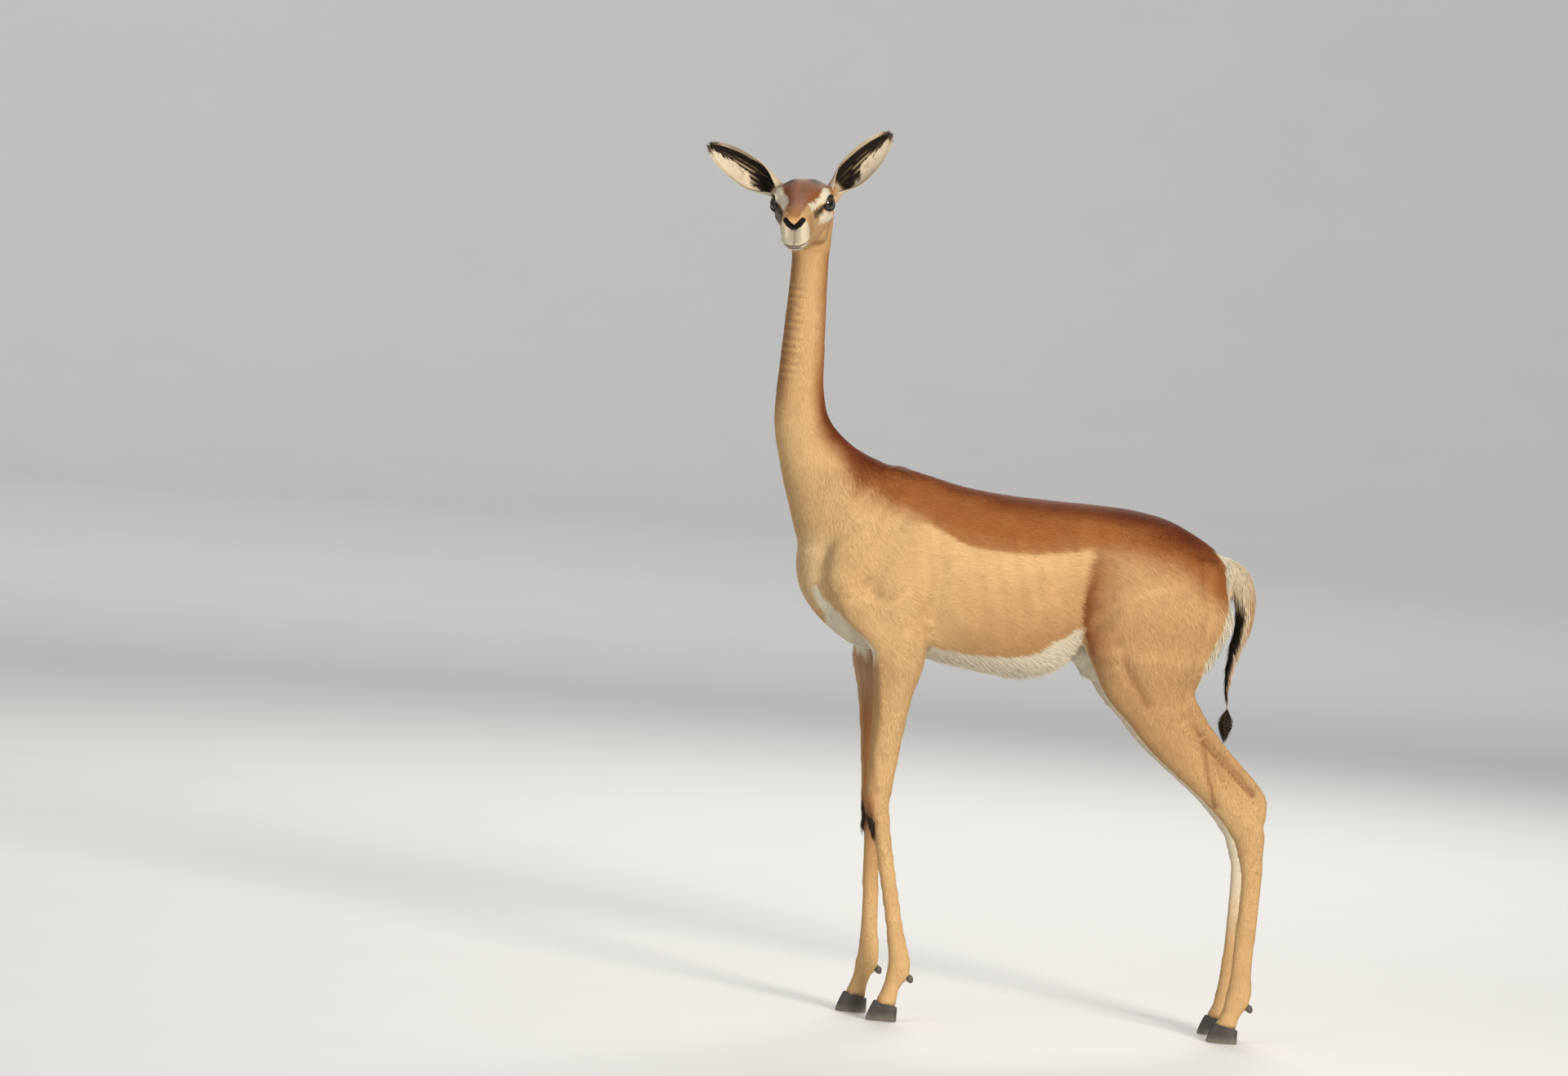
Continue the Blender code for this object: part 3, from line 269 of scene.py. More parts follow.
bodyForms = {  # sections from the chest to the rump, then up the neck
    "torso": ((-0.442, 0.795, 0.745, 0.02, 0.5, 2.0, 2.0), (-0.43, 0.835, 0.707, 0.038, 0.5, 2.0, 1.9),
        (-0.4, 0.872, 0.668, 0.057, 0.52, 1.9, 1.8), (-0.35, 0.905, 0.63, 0.074, 0.5, 1.8, 1.7),
        (-0.3, 0.933, 0.616, 0.084, 0.46, 1.6, 1.7), (-0.24, 0.922, 0.612, 0.092, 0.44, 1.7, 1.8),
        (-0.17, 0.905, 0.602, 0.106, 0.44, 1.9, 2.0), (-0.1, 0.896, 0.59, 0.117, 0.44, 2.0, 2.1),
        (-0.05, 0.893, 0.587, 0.12, 0.44, 2.1, 2.1), (0.0, 0.891, 0.6, 0.113, 0.46, 2.2, 2.0),
        (0.035, 0.89, 0.628, 0.103, 0.5, 2.2, 2.0), (0.06, 0.889, 0.662, 0.098, 0.54, 2.2, 2.0),
        (0.12, 0.885, 0.67, 0.099, 0.55, 2.1, 2.0), (0.18, 0.873, 0.68, 0.095, 0.52, 2.0, 2.0),
        (0.23, 0.85, 0.69, 0.082, 0.5, 1.9, 2.0), (0.265, 0.828, 0.7, 0.062, 0.5, 1.9, 2.0),
        (0.29, 0.8, 0.725, 0.034, 0.5, 2.0, 2.0)),
    "neck": ((-0.456, 1.345, 0.033, 0.033, 0), (-0.457, 1.3, 0.0325, 0.032, 0),
        (-0.457, 1.24, 0.033, 0.031, 0), (-0.457, 1.17, 0.0355, 0.032, 0),
        (-0.4575, 1.1, 0.0385, 0.034, 2), (-0.457, 1.045, 0.0415, 0.036, 4),
        (-0.449, 0.99, 0.049, 0.041, 8), (-0.418, 0.935, 0.067, 0.051, 18),
        (-0.385, 0.893, 0.088, 0.064, 28), (-0.35, 0.845, 0.108, 0.072, 34),
        (-0.315, 0.79, 0.108, 0.064, 38)),
    "shoulder": (((-0.288, 0.03, 0.9, 0.036, 0.016), (-0.318, 0.052, 0.84, 0.052, 0.024),
        (-0.352, 0.062, 0.775, 0.048, 0.026), (-0.368, 0.064, 0.73, 0.03, 0.022)),
        ((-0.372, 0.06, 0.74, 0.024, 0.022), (-0.335, 0.068, 0.695, 0.036, 0.024),
        (-0.285, 0.07, 0.645, 0.034, 0.024)), ((-0.272, 0.062, 0.83, 0.03, 0.02),
        (-0.272, 0.072, 0.75, 0.05, 0.026), (-0.262, 0.072, 0.665, 0.044, 0.026))),
    "udder": ((0.085, 0.0, 0.64), (0.05, 0.036, 0.05)),
}
legForms = {
    "foreJoints": {left: ((-0.268, 0.07, 0.69), (-0.265, 0.07, 0.61), (-0.2815, 0.062, 0.362),
        (-0.2675, 0.06, 0.31), (-0.2215, 0.056, 0.097), (-0.24, 0.056, 0.03)),
        right: ((-0.278, 0.07, 0.69), (-0.284, 0.07, 0.61), (-0.2725, 0.062, 0.362),
        (-0.271, 0.06, 0.31), (-0.262, 0.056, 0.097), (-0.279, 0.056, 0.03)),},
    "hindJoints": {left: ((0.352, 0.064, 0.352), (0.3625, 0.062, 0.285), (0.357, 0.06, 0.084),
        (0.339, 0.06, 0.029)), right: ((0.354, 0.064, 0.352), (0.3645, 0.062, 0.285),
        (0.36, 0.06, 0.084), (0.342, 0.06, 0.029)),},
    "forearm": ((0.0, 0.045, 0.028), (0.22, 0.0345, 0.0245), (0.44, 0.029, 0.0215),
        (0.67, 0.0255, 0.019), (0.88, 0.0232, 0.0188)),
    "foreKnee": ((0.0, 0.022, 0.0195), (0.55, 0.0185, 0.017)),
    "foreCannon": ((0.0, 0.0158, 0.0138), (0.3, 0.0152, 0.0122), (0.7, 0.0157, 0.0124),
        (0.88, 0.018, 0.0142)),
    "forePastern": ((0.0, 0.0198, 0.0162), (0.25, 0.0185, 0.0158), (0.6, 0.0152, 0.0142),
        (1.0, 0.0185, 0.0172), (1.25, 0.02, 0.018)),
    "hindHock": ((0.0, 0.028, 0.019), (0.5, 0.0225, 0.0165)),
    "hindCannon": ((0.0, 0.0195, 0.0142), (0.35, 0.0185, 0.0126), (0.75, 0.0192, 0.0128),
        (0.9, 0.0208, 0.0145)),
    "hindPastern": ((0.0, 0.0222, 0.0165), (0.25, 0.0208, 0.0162), (0.6, 0.0168, 0.0145),
        (1.0, 0.0192, 0.0172), (1.25, 0.0205, 0.018)),
    "thigh": ((0.19, 0.046, 0.815, 0.075, 0.032, 0), (0.176, 0.056, 0.76, 0.108, 0.042, 0),
        (0.167, 0.06, 0.709, 0.129, 0.044, 0), (0.16, 0.06, 0.66, 0.115, 0.042, 0),
        (0.16, 0.06, 0.61, 0.091, 0.038, 0), (0.167, 0.061, 0.573, 0.072, 0.034, -6),
        (0.188, 0.063, 0.543, 0.058, 0.031, -14), (0.206, 0.064, 0.515, 0.048, 0.028, -24),
        (0.228, 0.065, 0.486, 0.038, 0.025, -38), (0.268, 0.066, 0.446, 0.031, 0.021, -42),
        (0.303, 0.066, 0.413, 0.028, 0.019, -42), (0.332, 0.065, 0.383, 0.029, 0.019, -34),
        (0.35, 0.064, 0.352, 0.0275, 0.019, -8)),
    "tendon": ((0.232, 0.064, 0.574, 0.013, 0.013), (0.25, 0.064, 0.546, 0.012, 0.0115),
        (0.276, 0.065, 0.514, 0.0105, 0.0095), (0.318, 0.066, 0.473, 0.009, 0.008),
        (0.352, 0.066, 0.438, 0.0095, 0.009), (0.366, 0.065, 0.412, 0.0125, 0.0115),
        (0.364, 0.064, 0.38, 0.015, 0.013)),
    "web": ((0.234, 0.064, 0.53, 0.018, 0.009), (0.264, 0.065, 0.49, 0.021, 0.0062),
        (0.305, 0.065, 0.45, 0.019, 0.006), (0.34, 0.065, 0.412, 0.017, 0.008)),
}
tailForms = {
    "rows": ((0.3, 0.793, 0.019, 0.0175), (0.316, 0.774, 0.0195, 0.018), (0.324, 0.74, 0.0175, 0.0165),
        (0.3235, 0.705, 0.0145, 0.014), (0.314, 0.668, 0.0105, 0.011), (0.306, 0.63, 0.0065, 0.008),
        (0.3045, 0.595, 0.005, 0.006), (0.307, 0.562, 0.0048, 0.0052)),
    "root": ((0.25, 0.796, 0.015), (0.278, 0.8, 0.0185), (0.29, 0.799, 0.0195)),
}


# The head's own frame

headPose = {"at": np.array((-0.4722, -0.012, 1.3413)), "yaw": 12.3, "pitch": 3.2, "roll": 4.0}


def headAxes():  # forward, left and up of the turned head
    yaw, pitch, roll = (math.radians(headPose[key]) for key in ("yaw", "pitch", "roll"))
    forward = Vector((-math.sin(yaw), -math.cos(yaw), 0.0))
    sideways = Vector((0, 0, 1)).cross(forward)
    nod = Matrix.Rotation(pitch, 3, sideways)
    forward, up = nod @ forward, nod @ Vector((0, 0, 1))
    lean = Matrix.Rotation(roll, 3, forward)
    return np.array([forward, lean @ sideways, lean @ up])


headFrame = headAxes()
headForward, headLeft, headUp = headFrame


def headPoint(ahead, out, up):
    return headPose["at"] + headForward * ahead + headLeft * out + headUp * up


def toHead(points):
    return (points - headPose["at"]) @ headFrame.T


def fromHead(local):
    return local @ headFrame + headPose["at"]


headForms = {
    "sections": ((-0.048, 0.02, -0.012, 0.016, 0.5, 2.0, 2.0),
        (-0.04, 0.039, -0.03, 0.031, 0.5, 2.1, 2.0), (-0.02, 0.053, -0.043, 0.042, 0.5, 2.3, 2.0),
        (0.005, 0.0585, -0.05, 0.0475, 0.55, 2.5, 1.9), (0.03, 0.0585, -0.053, 0.049, 0.62, 2.6, 1.7),
        (0.055, 0.053, -0.055, 0.044, 0.62, 2.5, 1.7), (0.08, 0.043, -0.055, 0.034, 0.6, 2.4, 1.8),
        (0.105, 0.0335, -0.0545, 0.0275, 0.58, 2.4, 2.0), (0.13, 0.026, -0.054, 0.0248, 0.55, 2.4, 2.1),
        (0.148, 0.0195, -0.053, 0.0243, 0.52, 2.4, 2.2), (0.16, 0.0125, -0.05, 0.022, 0.5, 2.3, 2.2),
        (0.168, 0.003, -0.042, 0.015, 0.5, 2.0, 2.0)),
    "cheekMuscle": ((0.02, 0.026, -0.022), (0.035, 0.014, 0.026)),
    "browRidge": ((0.04, 0.029, 0.036), (0.026, 0.014, 0.013)),
    "cheekArch": ((-0.02, 0.036, 0.008, 0.01), (0.015, 0.039, 0.0, 0.009),
        (0.045, 0.035, -0.002, 0.009), (0.075, 0.024, -0.006, 0.009)),
}
earForms = {
    "rows": ((0.07, 0.0143, 168, 0.004), (0.16, 0.017, 142, 0.0034), (0.27, 0.0218, 112, 0.0028),
        (0.4, 0.026, 89, 0.0025), (0.55, 0.0275, 73, 0.0022), (0.7, 0.0277, 60, 0.002),
        (0.84, 0.0256, 46, 0.0018), (0.94, 0.0212, 33, 0.0016), (1.0, 0.0143, 14, 0.0012)),
}
eyeForms = {
    "radius": 0.0168, "lid": 0.0024, "at": (0.048, 0.0368, 0.02), "looks": (0.48, 0.87, 0.1),
    "tilt": 30.0, "opening": (54.0, 41.0), "rim": 0.0015, "hollow": 0.0024,
}
earPose = {
    "root": (-0.012, 0.04, 0.031), "length": 0.144, "stub": 0.0172, "opens": (0.94, 0.3, 0.1),
    "runs": {left: (0.05, 0.693, 0.721), right: (-0.05, 0.824, 0.566)},
}


def eyeFrame(side):  # centre, looking direction, towards the inner corner, upward
    ahead, out, up = eyeForms["looks"]
    looks = unit(np.array((ahead, -side * out, up)) @ headFrame)
    inner = unit(headForward - looks * (headForward @ looks))
    rise = np.cross(inner, looks)
    rise = rise if rise @ headUp > 0 else -rise
    tilt = math.radians(eyeForms["tilt"])
    centre = headPoint(eyeForms["at"][0], -side * eyeForms["at"][1], eyeForms["at"][2])
    return (centre, looks, inner * math.cos(tilt) - rise * math.sin(tilt), rise * math.cos(tilt) + inner
        * math.sin(tilt))


def earFrame(side):  # root, along the ear, across it, and the way its cup opens
    ahead, out, up = earPose["runs"][side]
    along = unit(np.array((ahead, -side * out, up)) @ headFrame)
    ahead, out, up = earPose["opens"]
    opens = np.array((ahead, -side * out, up)) @ headFrame
    opens = unit(opens - along * (opens @ along))
    root = headPoint(earPose["root"][0], -side * earPose["root"][1], earPose["root"][2])
    return root, along, np.cross(along, opens), opens


def earCentre(side, share, radius, curl):
    root, along, _, opens = earFrame(side)
    return (root + along * (earPose["length"] * share) + opens
        * (radius * math.cos(math.radians(curl)) + 0.0125))


# Flesh, section by section, as in the solids but finer

def torsoShape():
    rings = []
    for x, top, bottom, width, widest, above, below in smoothRows(bodyForms["torso"]):
        level = bottom + (top - bottom) * widest
        centre = np.array((x, 0.0, level))
        rings.append(ringOf(centre, across, straightUp, width, top - level, level - bottom, above, below,
            56))
    return loft(rings)


def neckShape():
    rings = []
    for x, z, depth, width, tilt in smoothRows(bodyForms["neck"]):
        back = np.array((math.cos(math.radians(tilt)), 0.0, math.sin(math.radians(tilt))))
        rings.append(ringOf(np.array((x, 0.0, z)), across, back, width, depth, depth, 1.9, 2.1, 44))
    return loft(rings)


def sideTube(rows, side, sides=30):
    rows = [np.array((row[0], side * row[1], *row[2:])) for row in roundedRows(smoothRows(rows))]
    return tube(rows, across, sides)


def between(start, end, shares):
    return [tuple(a + (b - a) * share for a, b in zip(start, end)) + (depth, width)
            for share, depth, width in shares]


def foreLegShape(side):
    shoulder, elbow, knee, belowKnee, fetlock, coronet = legForms["foreJoints"][side]
    rows = [shoulder + (0.05, 0.028)]
    rows += between(elbow, knee, legForms["forearm"])
    rows += between(knee, belowKnee, legForms["foreKnee"])
    rows += between(belowKnee, fetlock, legForms["foreCannon"])
    rows += between(fetlock, coronet, legForms["forePastern"])
    return sideTube(rows, side)


def hindShankShape(side):
    hock, belowHock, fetlock, coronet = legForms["hindJoints"][side]
    rows = [(hock[0] - 0.012, hock[1], hock[2] + 0.03, 0.028, 0.0185)]
    rows += between(hock, belowHock, legForms["hindHock"])
    rows += between(belowHock, fetlock, legForms["hindCannon"])
    rows += between(fetlock, coronet, legForms["hindPastern"])
    return sideTube(rows, side)


def thighShape(side):
    rings = []
    for x, offset, z, depth, width, tilt in smoothRows(legForms["thigh"]):
        back = np.array((math.cos(math.radians(-tilt)), 0.0, math.sin(math.radians(-tilt))))
        rings.append(ringOf(np.array((x, side * offset, z)), across, back, width, depth, depth, sides=44))
    return loft(rings)


bodyAxes = np.eye(3)


def dewclawPlaces(joints, side):
    fetlock = joints[-2]
    return [np.array((fetlock[0] + 0.0155, side * fetlock[1] + inner * 0.009, fetlock[2] - 0.02))
            for inner in (-1, 1)]


def brushPlace(side):
    belowKnee = legForms["foreJoints"][side][3]
    return np.array((belowKnee[0] - 0.0165, side * (belowKnee[1] + 0.004), belowKnee[2] + 0.014))


def overHoof(places):  # how far a place near the ground is above the rim of its hoof
    lift = np.where(places[:, 2] < 0.06, 0.03, 1.0)
    for table in ("foreJoints", "hindJoints"):
        for side in (left, right):
            x, y, z = legForms[table][side][-1]
            near = (places[:, 2] < 0.06) & (np.hypot(places[:, 0] - x, places[:, 1] - side * y) < 0.045)
            lift[near] = (places[:, 2] - z + 0.0006 - 0.249 * (x - places[:, 0]))[near]
    return lift


def tuckIntoHooves(places):
    share = ramp(0.0004, -0.003, overHoof(places))
    for table in ("foreJoints", "hindJoints"):
        for side in (left, right):
            middle = np.array((legForms[table][side][-1][0], side * legForms[table][side][-1][1]))
            near = (share > 0) & (np.linalg.norm(places[:, :2] - middle, axis=1) < 0.045)
            places[near, :2] = middle + (places[near, :2] - middle) * mix(1.0, 0.66, share[near])[:, None]
            places[near, 2] = np.maximum(places[near, 2], 0.008)
    return places


def tailLine(steps):  # rows of the tail with its direction at each
    rows = smoothRows(tailForms["rows"], steps)
    places = np.array([(row[0], 0.0, row[1]) for row in rows])
    alongs = unit(np.gradient(places, axis=0))
    return np.array(rows), places, alongs


def tailShapes():
    rings = [ringOf(np.array((x, 0.0, z)), across, unit((-0.2, 0.0, 1.0)), radius, radius, radius, sides=24)
             for x, z, radius in tailForms["root"]]
    rows, places, alongs = tailLine(4)
    for row, place, along in zip(rows, places, alongs):
        depth = np.cross(along, across)
        depth = depth if depth[2] > 0 or depth[0] > 0 else -depth
        rings.append(ringOf(place, across, depth, row[3], row[2], row[2], sides=24))
    tip = places[-1] + alongs[-1] * 0.02
    return [loft(rings), ball(tip, bodyAxes, (0.0048, 0.0048, 0.024), 16)]


def headShapes():
    rings = []
    for ahead, top, bottom, width, widest, above, below in smoothRows(headForms["sections"], 6):
        level = bottom + (top - bottom) * widest
        rise, drop = top - level, level - bottom
        rings.append(ringOf(headPoint(ahead, 0, level), headLeft, headUp, width, rise, drop, above, below,
            64))
    made = [loft(rings), neckShape()]
    for side in (left, right):
        out = -side
        reach = eyeForms["radius"] + eyeForms["lid"]
        made.append(ball(eyeFrame(side)[0], headFrame, (reach,) * 3))
        for (ahead, sideways, up), radii in (headForms["cheekMuscle"], headForms["browRidge"]):
            made.append(ball(headPoint(ahead, out * sideways, up), headFrame, radii))
        rows = smoothRows([(row[0], out * row[1], *row[2:]) for row in headForms["cheekArch"]])
        rows = [np.array((*headPoint(*row[:3]), row[3], row[3])) for row in rows]
        made.append(tube(rows, headUp))
        root, along, sideways, opens = earFrame(side)
        made.append(ball(root, headFrame, (earPose["stub"],) * 3))
        share, radius, curl, _ = earForms["rows"][0]
        top = earCentre(side, share, radius, curl)
        stub = [ringOf(root - along * 0.01, sideways, opens, *(earPose["stub"],) * 3, sides=32)]
        stub += [ringOf(top + along * step, sideways, opens, *(radius + 0.0012,) * 3, sides=32)
                 for step in (0.0, 0.004)]
        made.append(loft(stub))
    return made


def fleshShapes():
    made = [torsoShape(), *tailShapes(), *headShapes()]
    udderAt, udderSize = bodyForms["udder"]
    made.append(ball(np.array(udderAt), bodyAxes, udderSize))
    for side in (left, right):
        made += [sideTube(rows, side) for rows in bodyForms["shoulder"]]
        made += [foreLegShape(side), thighShape(side), hindShankShape(side)]
        made += [sideTube(legForms["tendon"], side, 20), sideTube(legForms["web"], side, 20)]
        made.append(ball(brushPlace(side), bodyAxes, (0.0055, 0.008, 0.015), 20))
        for joints in (legForms["foreJoints"][side], legForms["hindJoints"][side]):
            made += [ball(place, bodyAxes, (0.006, 0.0048, 0.0088), 16) for place in dewclawPlaces(joints,
                side)]
    return made


# The skin: one surface over all the flesh

skinLook = {
    "voxel": 0.006, "rounds": 4, "headVoxel": 0.0014, "headRounds": 11,
    "bodyDepth": 0.0016, "legDepth": 0.0007, "headDepth": 0.0006,  # how far the skin lies inside the coat
}
# Forms worked into the head: radius, height, then the path's places (forward, sideways, up), on both sides
headMarks = (
    (0.0013, -0.0016, (0.167, 0.0, -0.0145), (0.168, 0.0, -0.0395)),  # groove between the nostrils
    (0.0032, 0.0018, (0.164, 0.008, 0.0036), (0.155, 0.015, 0.0104)),  # rim over the nostril
    (0.003, 0.0014, (0.166, 0.0125, -0.015), (0.159, 0.0195, -0.0075)),  # wing of the nostril
    (0.0034, -0.003, (0.096, 0.03, 0.004), (0.086, 0.032, 0.005)),  # gland pit before the eye
    (0.0042, 0.001, (0.101, 0.029, -0.004), (0.09, 0.033, -0.006)),  # its lower rim
    (0.0018, -0.0022, (0.07, 0.037, 0.0085), (0.08, 0.033, 0.004)),  # tear duct
    (0.005, 0.0022, (0.025, 0.043, 0.033), (0.044, 0.041, 0.0405), (0.064, 0.033, 0.035)),  # brow
    (0.006, 0.002, (0.068, 0.036, -0.004), (0.045, 0.044, -0.006), (0.015, 0.046, 0.0)),  # cheek
    (0.009, -0.0024, (0.105, 0.027, -0.01), (0.07, 0.036, -0.02)),  # hollow of the cheek
    (0.005, -0.0012, (0.048, 0.04, -0.023), (0.056, 0.034, -0.04), (0.05, 0.026, -0.05)),  # jaw muscle
    (0.0022, 0.0006, (0.113, 0.025, -0.018), (0.086, 0.033, -0.015), (0.064, 0.04, -0.013)),  # vein
    (0.011, -0.0018, (0.085, 0.0, 0.044), (0.06, 0.0, 0.053)),  # dip between the eyes
    (0.008, -0.0022, (0.004, 0.042, 0.028), (0.01, 0.04, 0.042)),  # temple
    (0.007, 0.0014, (0.035, 0.016, 0.059), (0.012, 0.018, 0.061)),  # skull over the eyes
    (0.0026, 0.0008, (0.156, 0.0225, -0.033), (0.14, 0.025, -0.033)),  # side of the upper lip
)
nostrilForms = {"path": ((0.169, 0.003, -0.012), (0.168, 0.0085, -0.008), (0.162, 0.014, -0.0012)),
                "radius": 0.0024, "depth": 0.0085}
mouthForms = {"front": 0.168, "level": -0.0476, "rise": 0.0126, "corner": 0.113}
# Forms worked into the body's sides: radius, height, then places in profile (x, z)
bodyMarks = (
    (0.01, 0.0014, (-0.29, 0.895), (-0.322, 0.835), (-0.352, 0.775)),  # spine of the shoulder blade
    (0.012, -0.003, (-0.338, 0.9), (-0.388, 0.82), (-0.405, 0.752)),  # groove before the shoulder
    (0.011, -0.003, (-0.238, 0.84), (-0.218, 0.76), (-0.226, 0.69)),  # behind the triceps
    (0.009, -0.002, (-0.33, 0.72), (-0.292, 0.705), (-0.268, 0.728)),  # between triceps and upper arm
    (0.01, 0.0026, (-0.252, 0.648), (-0.247, 0.634)),  # point of the elbow
    (0.013, 0.002, (-0.372, 0.738), (-0.36, 0.722)),  # point of the shoulder
    (0.022, -0.0038, (0.028, 0.832), (0.046, 0.77), (0.058, 0.725)),  # hollow of the flank
    (0.012, 0.0024, (0.052, 0.688), (0.082, 0.7), (0.102, 0.742)),  # fold from flank to knee cap
    (0.015, 0.003, (0.088, 0.852), (0.104, 0.842)),  # point of the hip
    (0.012, 0.0026, (0.086, 0.64), (0.094, 0.618)),  # knee cap
    (0.01, -0.003, (0.236, 0.812), (0.252, 0.72), (0.236, 0.628), (0.222, 0.575)),
    # between the thigh's muscles
    (0.011, -0.0036, (0.104, 0.66), (0.122, 0.622), (0.158, 0.566)),  # front muscle of the thigh
    (0.0078, -0.0038, (0.246, 0.53), (0.262, 0.505), (0.304, 0.465), (0.35, 0.424)),
    # before the heel tendon
    (0.007, -0.003, (0.262, 0.5), (0.27, 0.452), (0.288, 0.4)),  # behind the gaskin's muscle
    (0.0024, 0.0012, (0.196, 0.56), (0.236, 0.512), (0.292, 0.452), (0.336, 0.4), (0.346, 0.33)),
    # gaskin vein
    (0.005, 0.002, (-0.296, 0.596), (-0.286, 0.52), (-0.292, 0.45), (-0.284, 0.396)),  # forearm vein
    (0.002, 0.0009, (-0.286, 0.52), (-0.272, 0.47), (-0.27, 0.42)),  # its branch
    (0.007, 0.0018, (0.342, 0.372), (0.332, 0.352)),  # hock bones
    (0.005, -0.0016, (0.356, 0.356), (0.364, 0.33)),
    (0.007, 0.0016, (-0.292, 0.372), (-0.286, 0.352)),  # knee bones
    (0.005, -0.0012, (-0.272, 0.352), (-0.284, 0.336)),
)
cannonMarks = (  # grooves between bone and tendon, one row a leg: side, radius, height, places in profile
    (left, 0.0032, -0.0016, (-0.259, 0.3), (-0.217, 0.125)),
    (right, 0.0032, -0.0016, (-0.265, 0.3), (-0.2565, 0.125)),
    (left, 0.0036, -0.0017, (0.369, 0.29), (0.3635, 0.11)),
    (right, 0.0036, -0.0017, (0.371, 0.29), (0.3665, 0.11)),
)


def eyeAlmond(places, side):  # 1 on the edge of the lids, less inside; also the height over the eye's middle
    centre, looks, inner, up = eyeFrame(side)
    offset = places - centre
    reach = np.linalg.norm(offset, axis=1)
    facing = np.maximum(offset @ looks / reach, 0.05)
    a = offset @ inner / reach / facing / math.tan(math.radians(eyeForms["opening"][0]))
    b = offset @ up / reach / facing / math.tan(math.radians(eyeForms["opening"][1]))
    b = b * (1.0 + np.where(b > 0, 0.5, 0.15)
        * np.clip(a, 0.0, 1.2))  # the upper lid slants to the tear duct
    a = np.where(a > 0, a * 0.84, a)  # drawn out towards the tear duct
    almond = (np.abs(a) ** 1.7 + np.abs(b) ** 1.7) ** (1 / 1.7)
    return np.where(offset @ looks > 0, almond, 9.0), b, reach


def shapeLids(places):
    radius = eyeForms["radius"]
    for side in (left, right):
        centre = eyeFrame(side)[0]
        near = np.linalg.norm(places - centre, axis=1) < radius * 1.9
        almond, level, reach = eyeAlmond(places[near], side)
        wall = mix(radius - eyeForms["hollow"], radius + eyeForms["rim"], ramp(0.9, 1.05, almond))
        wall += 0.0006 * bump(almond, 1.13, 0.1)
        kept = reach - 0.0011 * bump(almond, 1.46, 0.1) * ramp(-0.3, 0.5, level)
        wanted = mix(wall, kept, ramp(1.12, 1.42, almond))
        places[near] = centre + (places[near] - centre) * (wanted / reach)[:, None]
    return places


def mouthOffset(local):  # how far above the line of the mouth, and how far forward of its corner
    back = np.clip((mouthForms["front"] - local[:, 0]) / (mouthForms["front"] - mouthForms["corner"]), 0.0,
        None)
    level = mouthForms["level"] + mouthForms["rise"] * (1.0 - np.exp(-4.2 * back))
    return local[:, 2] - level, ramp(-0.002, 0.01, local[:, 0] - mouthForms["corner"])


def shapeHead(places, normals):
    local, facing = toHead(places), normals @ headFrame.T
    near = (local[:, 2] > -0.075) & (local[:, 0] > -0.06) & (places[:, 2] > 1.2)
    moved = np.zeros_like(local[near])
    for radius, height, *path in headMarks:
        for out in ((1, -1) if max(abs(place[1]) for place in path) > 0 else (1,)):
            reach, _ = pathDistance(local[near], [(place[0], out * place[1], place[2]) for place in path])
            moved += facing[near] * (height * np.exp(-((reach / radius) ** 2)))[:, None]
    off, fade = mouthOffset(local[near])
    lips = (-0.0028 * bump(off, 0.0, 0.0012) + 0.0011 * bump(off, 0.0048, 0.003) + 0.001
        * bump(off, -0.0044, 0.0026))
    moved += facing[near] * (lips * fade)[:, None]
    for out in (1, -1):
        path = [(place[0], out * place[1], place[2]) for place in nostrilForms["path"]]
        reach, along = pathDistance(local[near], path)
        depth = (nostrilForms["depth"] * np.exp(-((reach / nostrilForms["radius"]) ** 2))
            * (1.0 - 0.45 * along))
        moved += depth[:, None] * unit(np.array((-0.85, -0.4 * out, 0.1)))
    local[near] += moved
    return fromHead(local)


def shapeBody(places, normals):
    profile = places[:, [0, 2]]
    moved = np.zeros(len(places))
    outward = normals[:, 1] * np.sign(places[:, 1])
    for radius, height, *path in bodyMarks:
        reach, _ = pathDistance(profile, path)
        moved += height * np.exp(-((reach / radius) ** 2)) * ramp(0.15, 0.55, outward)
    for side, radius, height, *path in cannonMarks:
        reach, _ = pathDistance(profile, path)
        moved += height * np.exp(-((reach / radius) ** 2)) * (places[:, 1] * side > 0) * ramp(0.3, 0.8,
            np.abs(normals[:, 1]))
    x, z = places[:, 0], places[:, 2]
    ribs = np.sin((x + 0.22 - (0.75 - z) * 0.28) / 0.034 * 2 * math.pi)
    moved += 0.0007 * ribs * bump(x, -0.085, 0.085) * bump(z, 0.735, 0.075) * ramp(0.3, 0.8, outward)
    throat = ramp(1.04, 1.1, z) * ramp(1.26, 1.2, z) * ramp(0.1, -0.5, normals[:, 0])
    moved += 0.0006 * np.sin(z / 0.0105 * 2 * math.pi + 2.0 * cloud(places, 0.03, 4)) * throat
    return places + normals * moved[:, None]


def region(places):  # 0 head, 1 neck, 2 torso, 3 tail, 4 fore leg, 5 hind leg
    x, y, z = places.T
    local = toHead(places)
    kind = np.full(len(places), 2)
    kind[(z > 0.93) & (x < -0.36)] = 1
    kind[(local[:, 2] > -0.062) & (z > 1.2)] = 0
    kind[(z < 0.604) & (x < -0.1)] = 4
    kind[(z < 0.64) & (x > 0.075) & (np.abs(y) > 0.022)] = 5
    kind[(x > 0.288) & (np.abs(y) < 0.026) & (z > 0.46) & (z < 0.83)] = 3
    return kind


def refined(mesh, faceTest, cuts):
    shell = bmesh.new()
    shell.from_mesh(mesh)
    shell.faces.ensure_lookup_table()
    centres = np.array([face.calc_center_median() for face in shell.faces])
    chosen = [shell.faces[k] for k in np.nonzero(faceTest(centres))[0]]
    edges = list({edge for face in chosen for edge in face.edges})
    bmesh.ops.subdivide_edges(shell, edges=edges, cuts=cuts, use_grid_fill=True)
    bmesh.ops.triangulate(shell, faces=[face for face in shell.faces if len(face.verts) > 4])
    shell.to_mesh(mesh)
    shell.free()


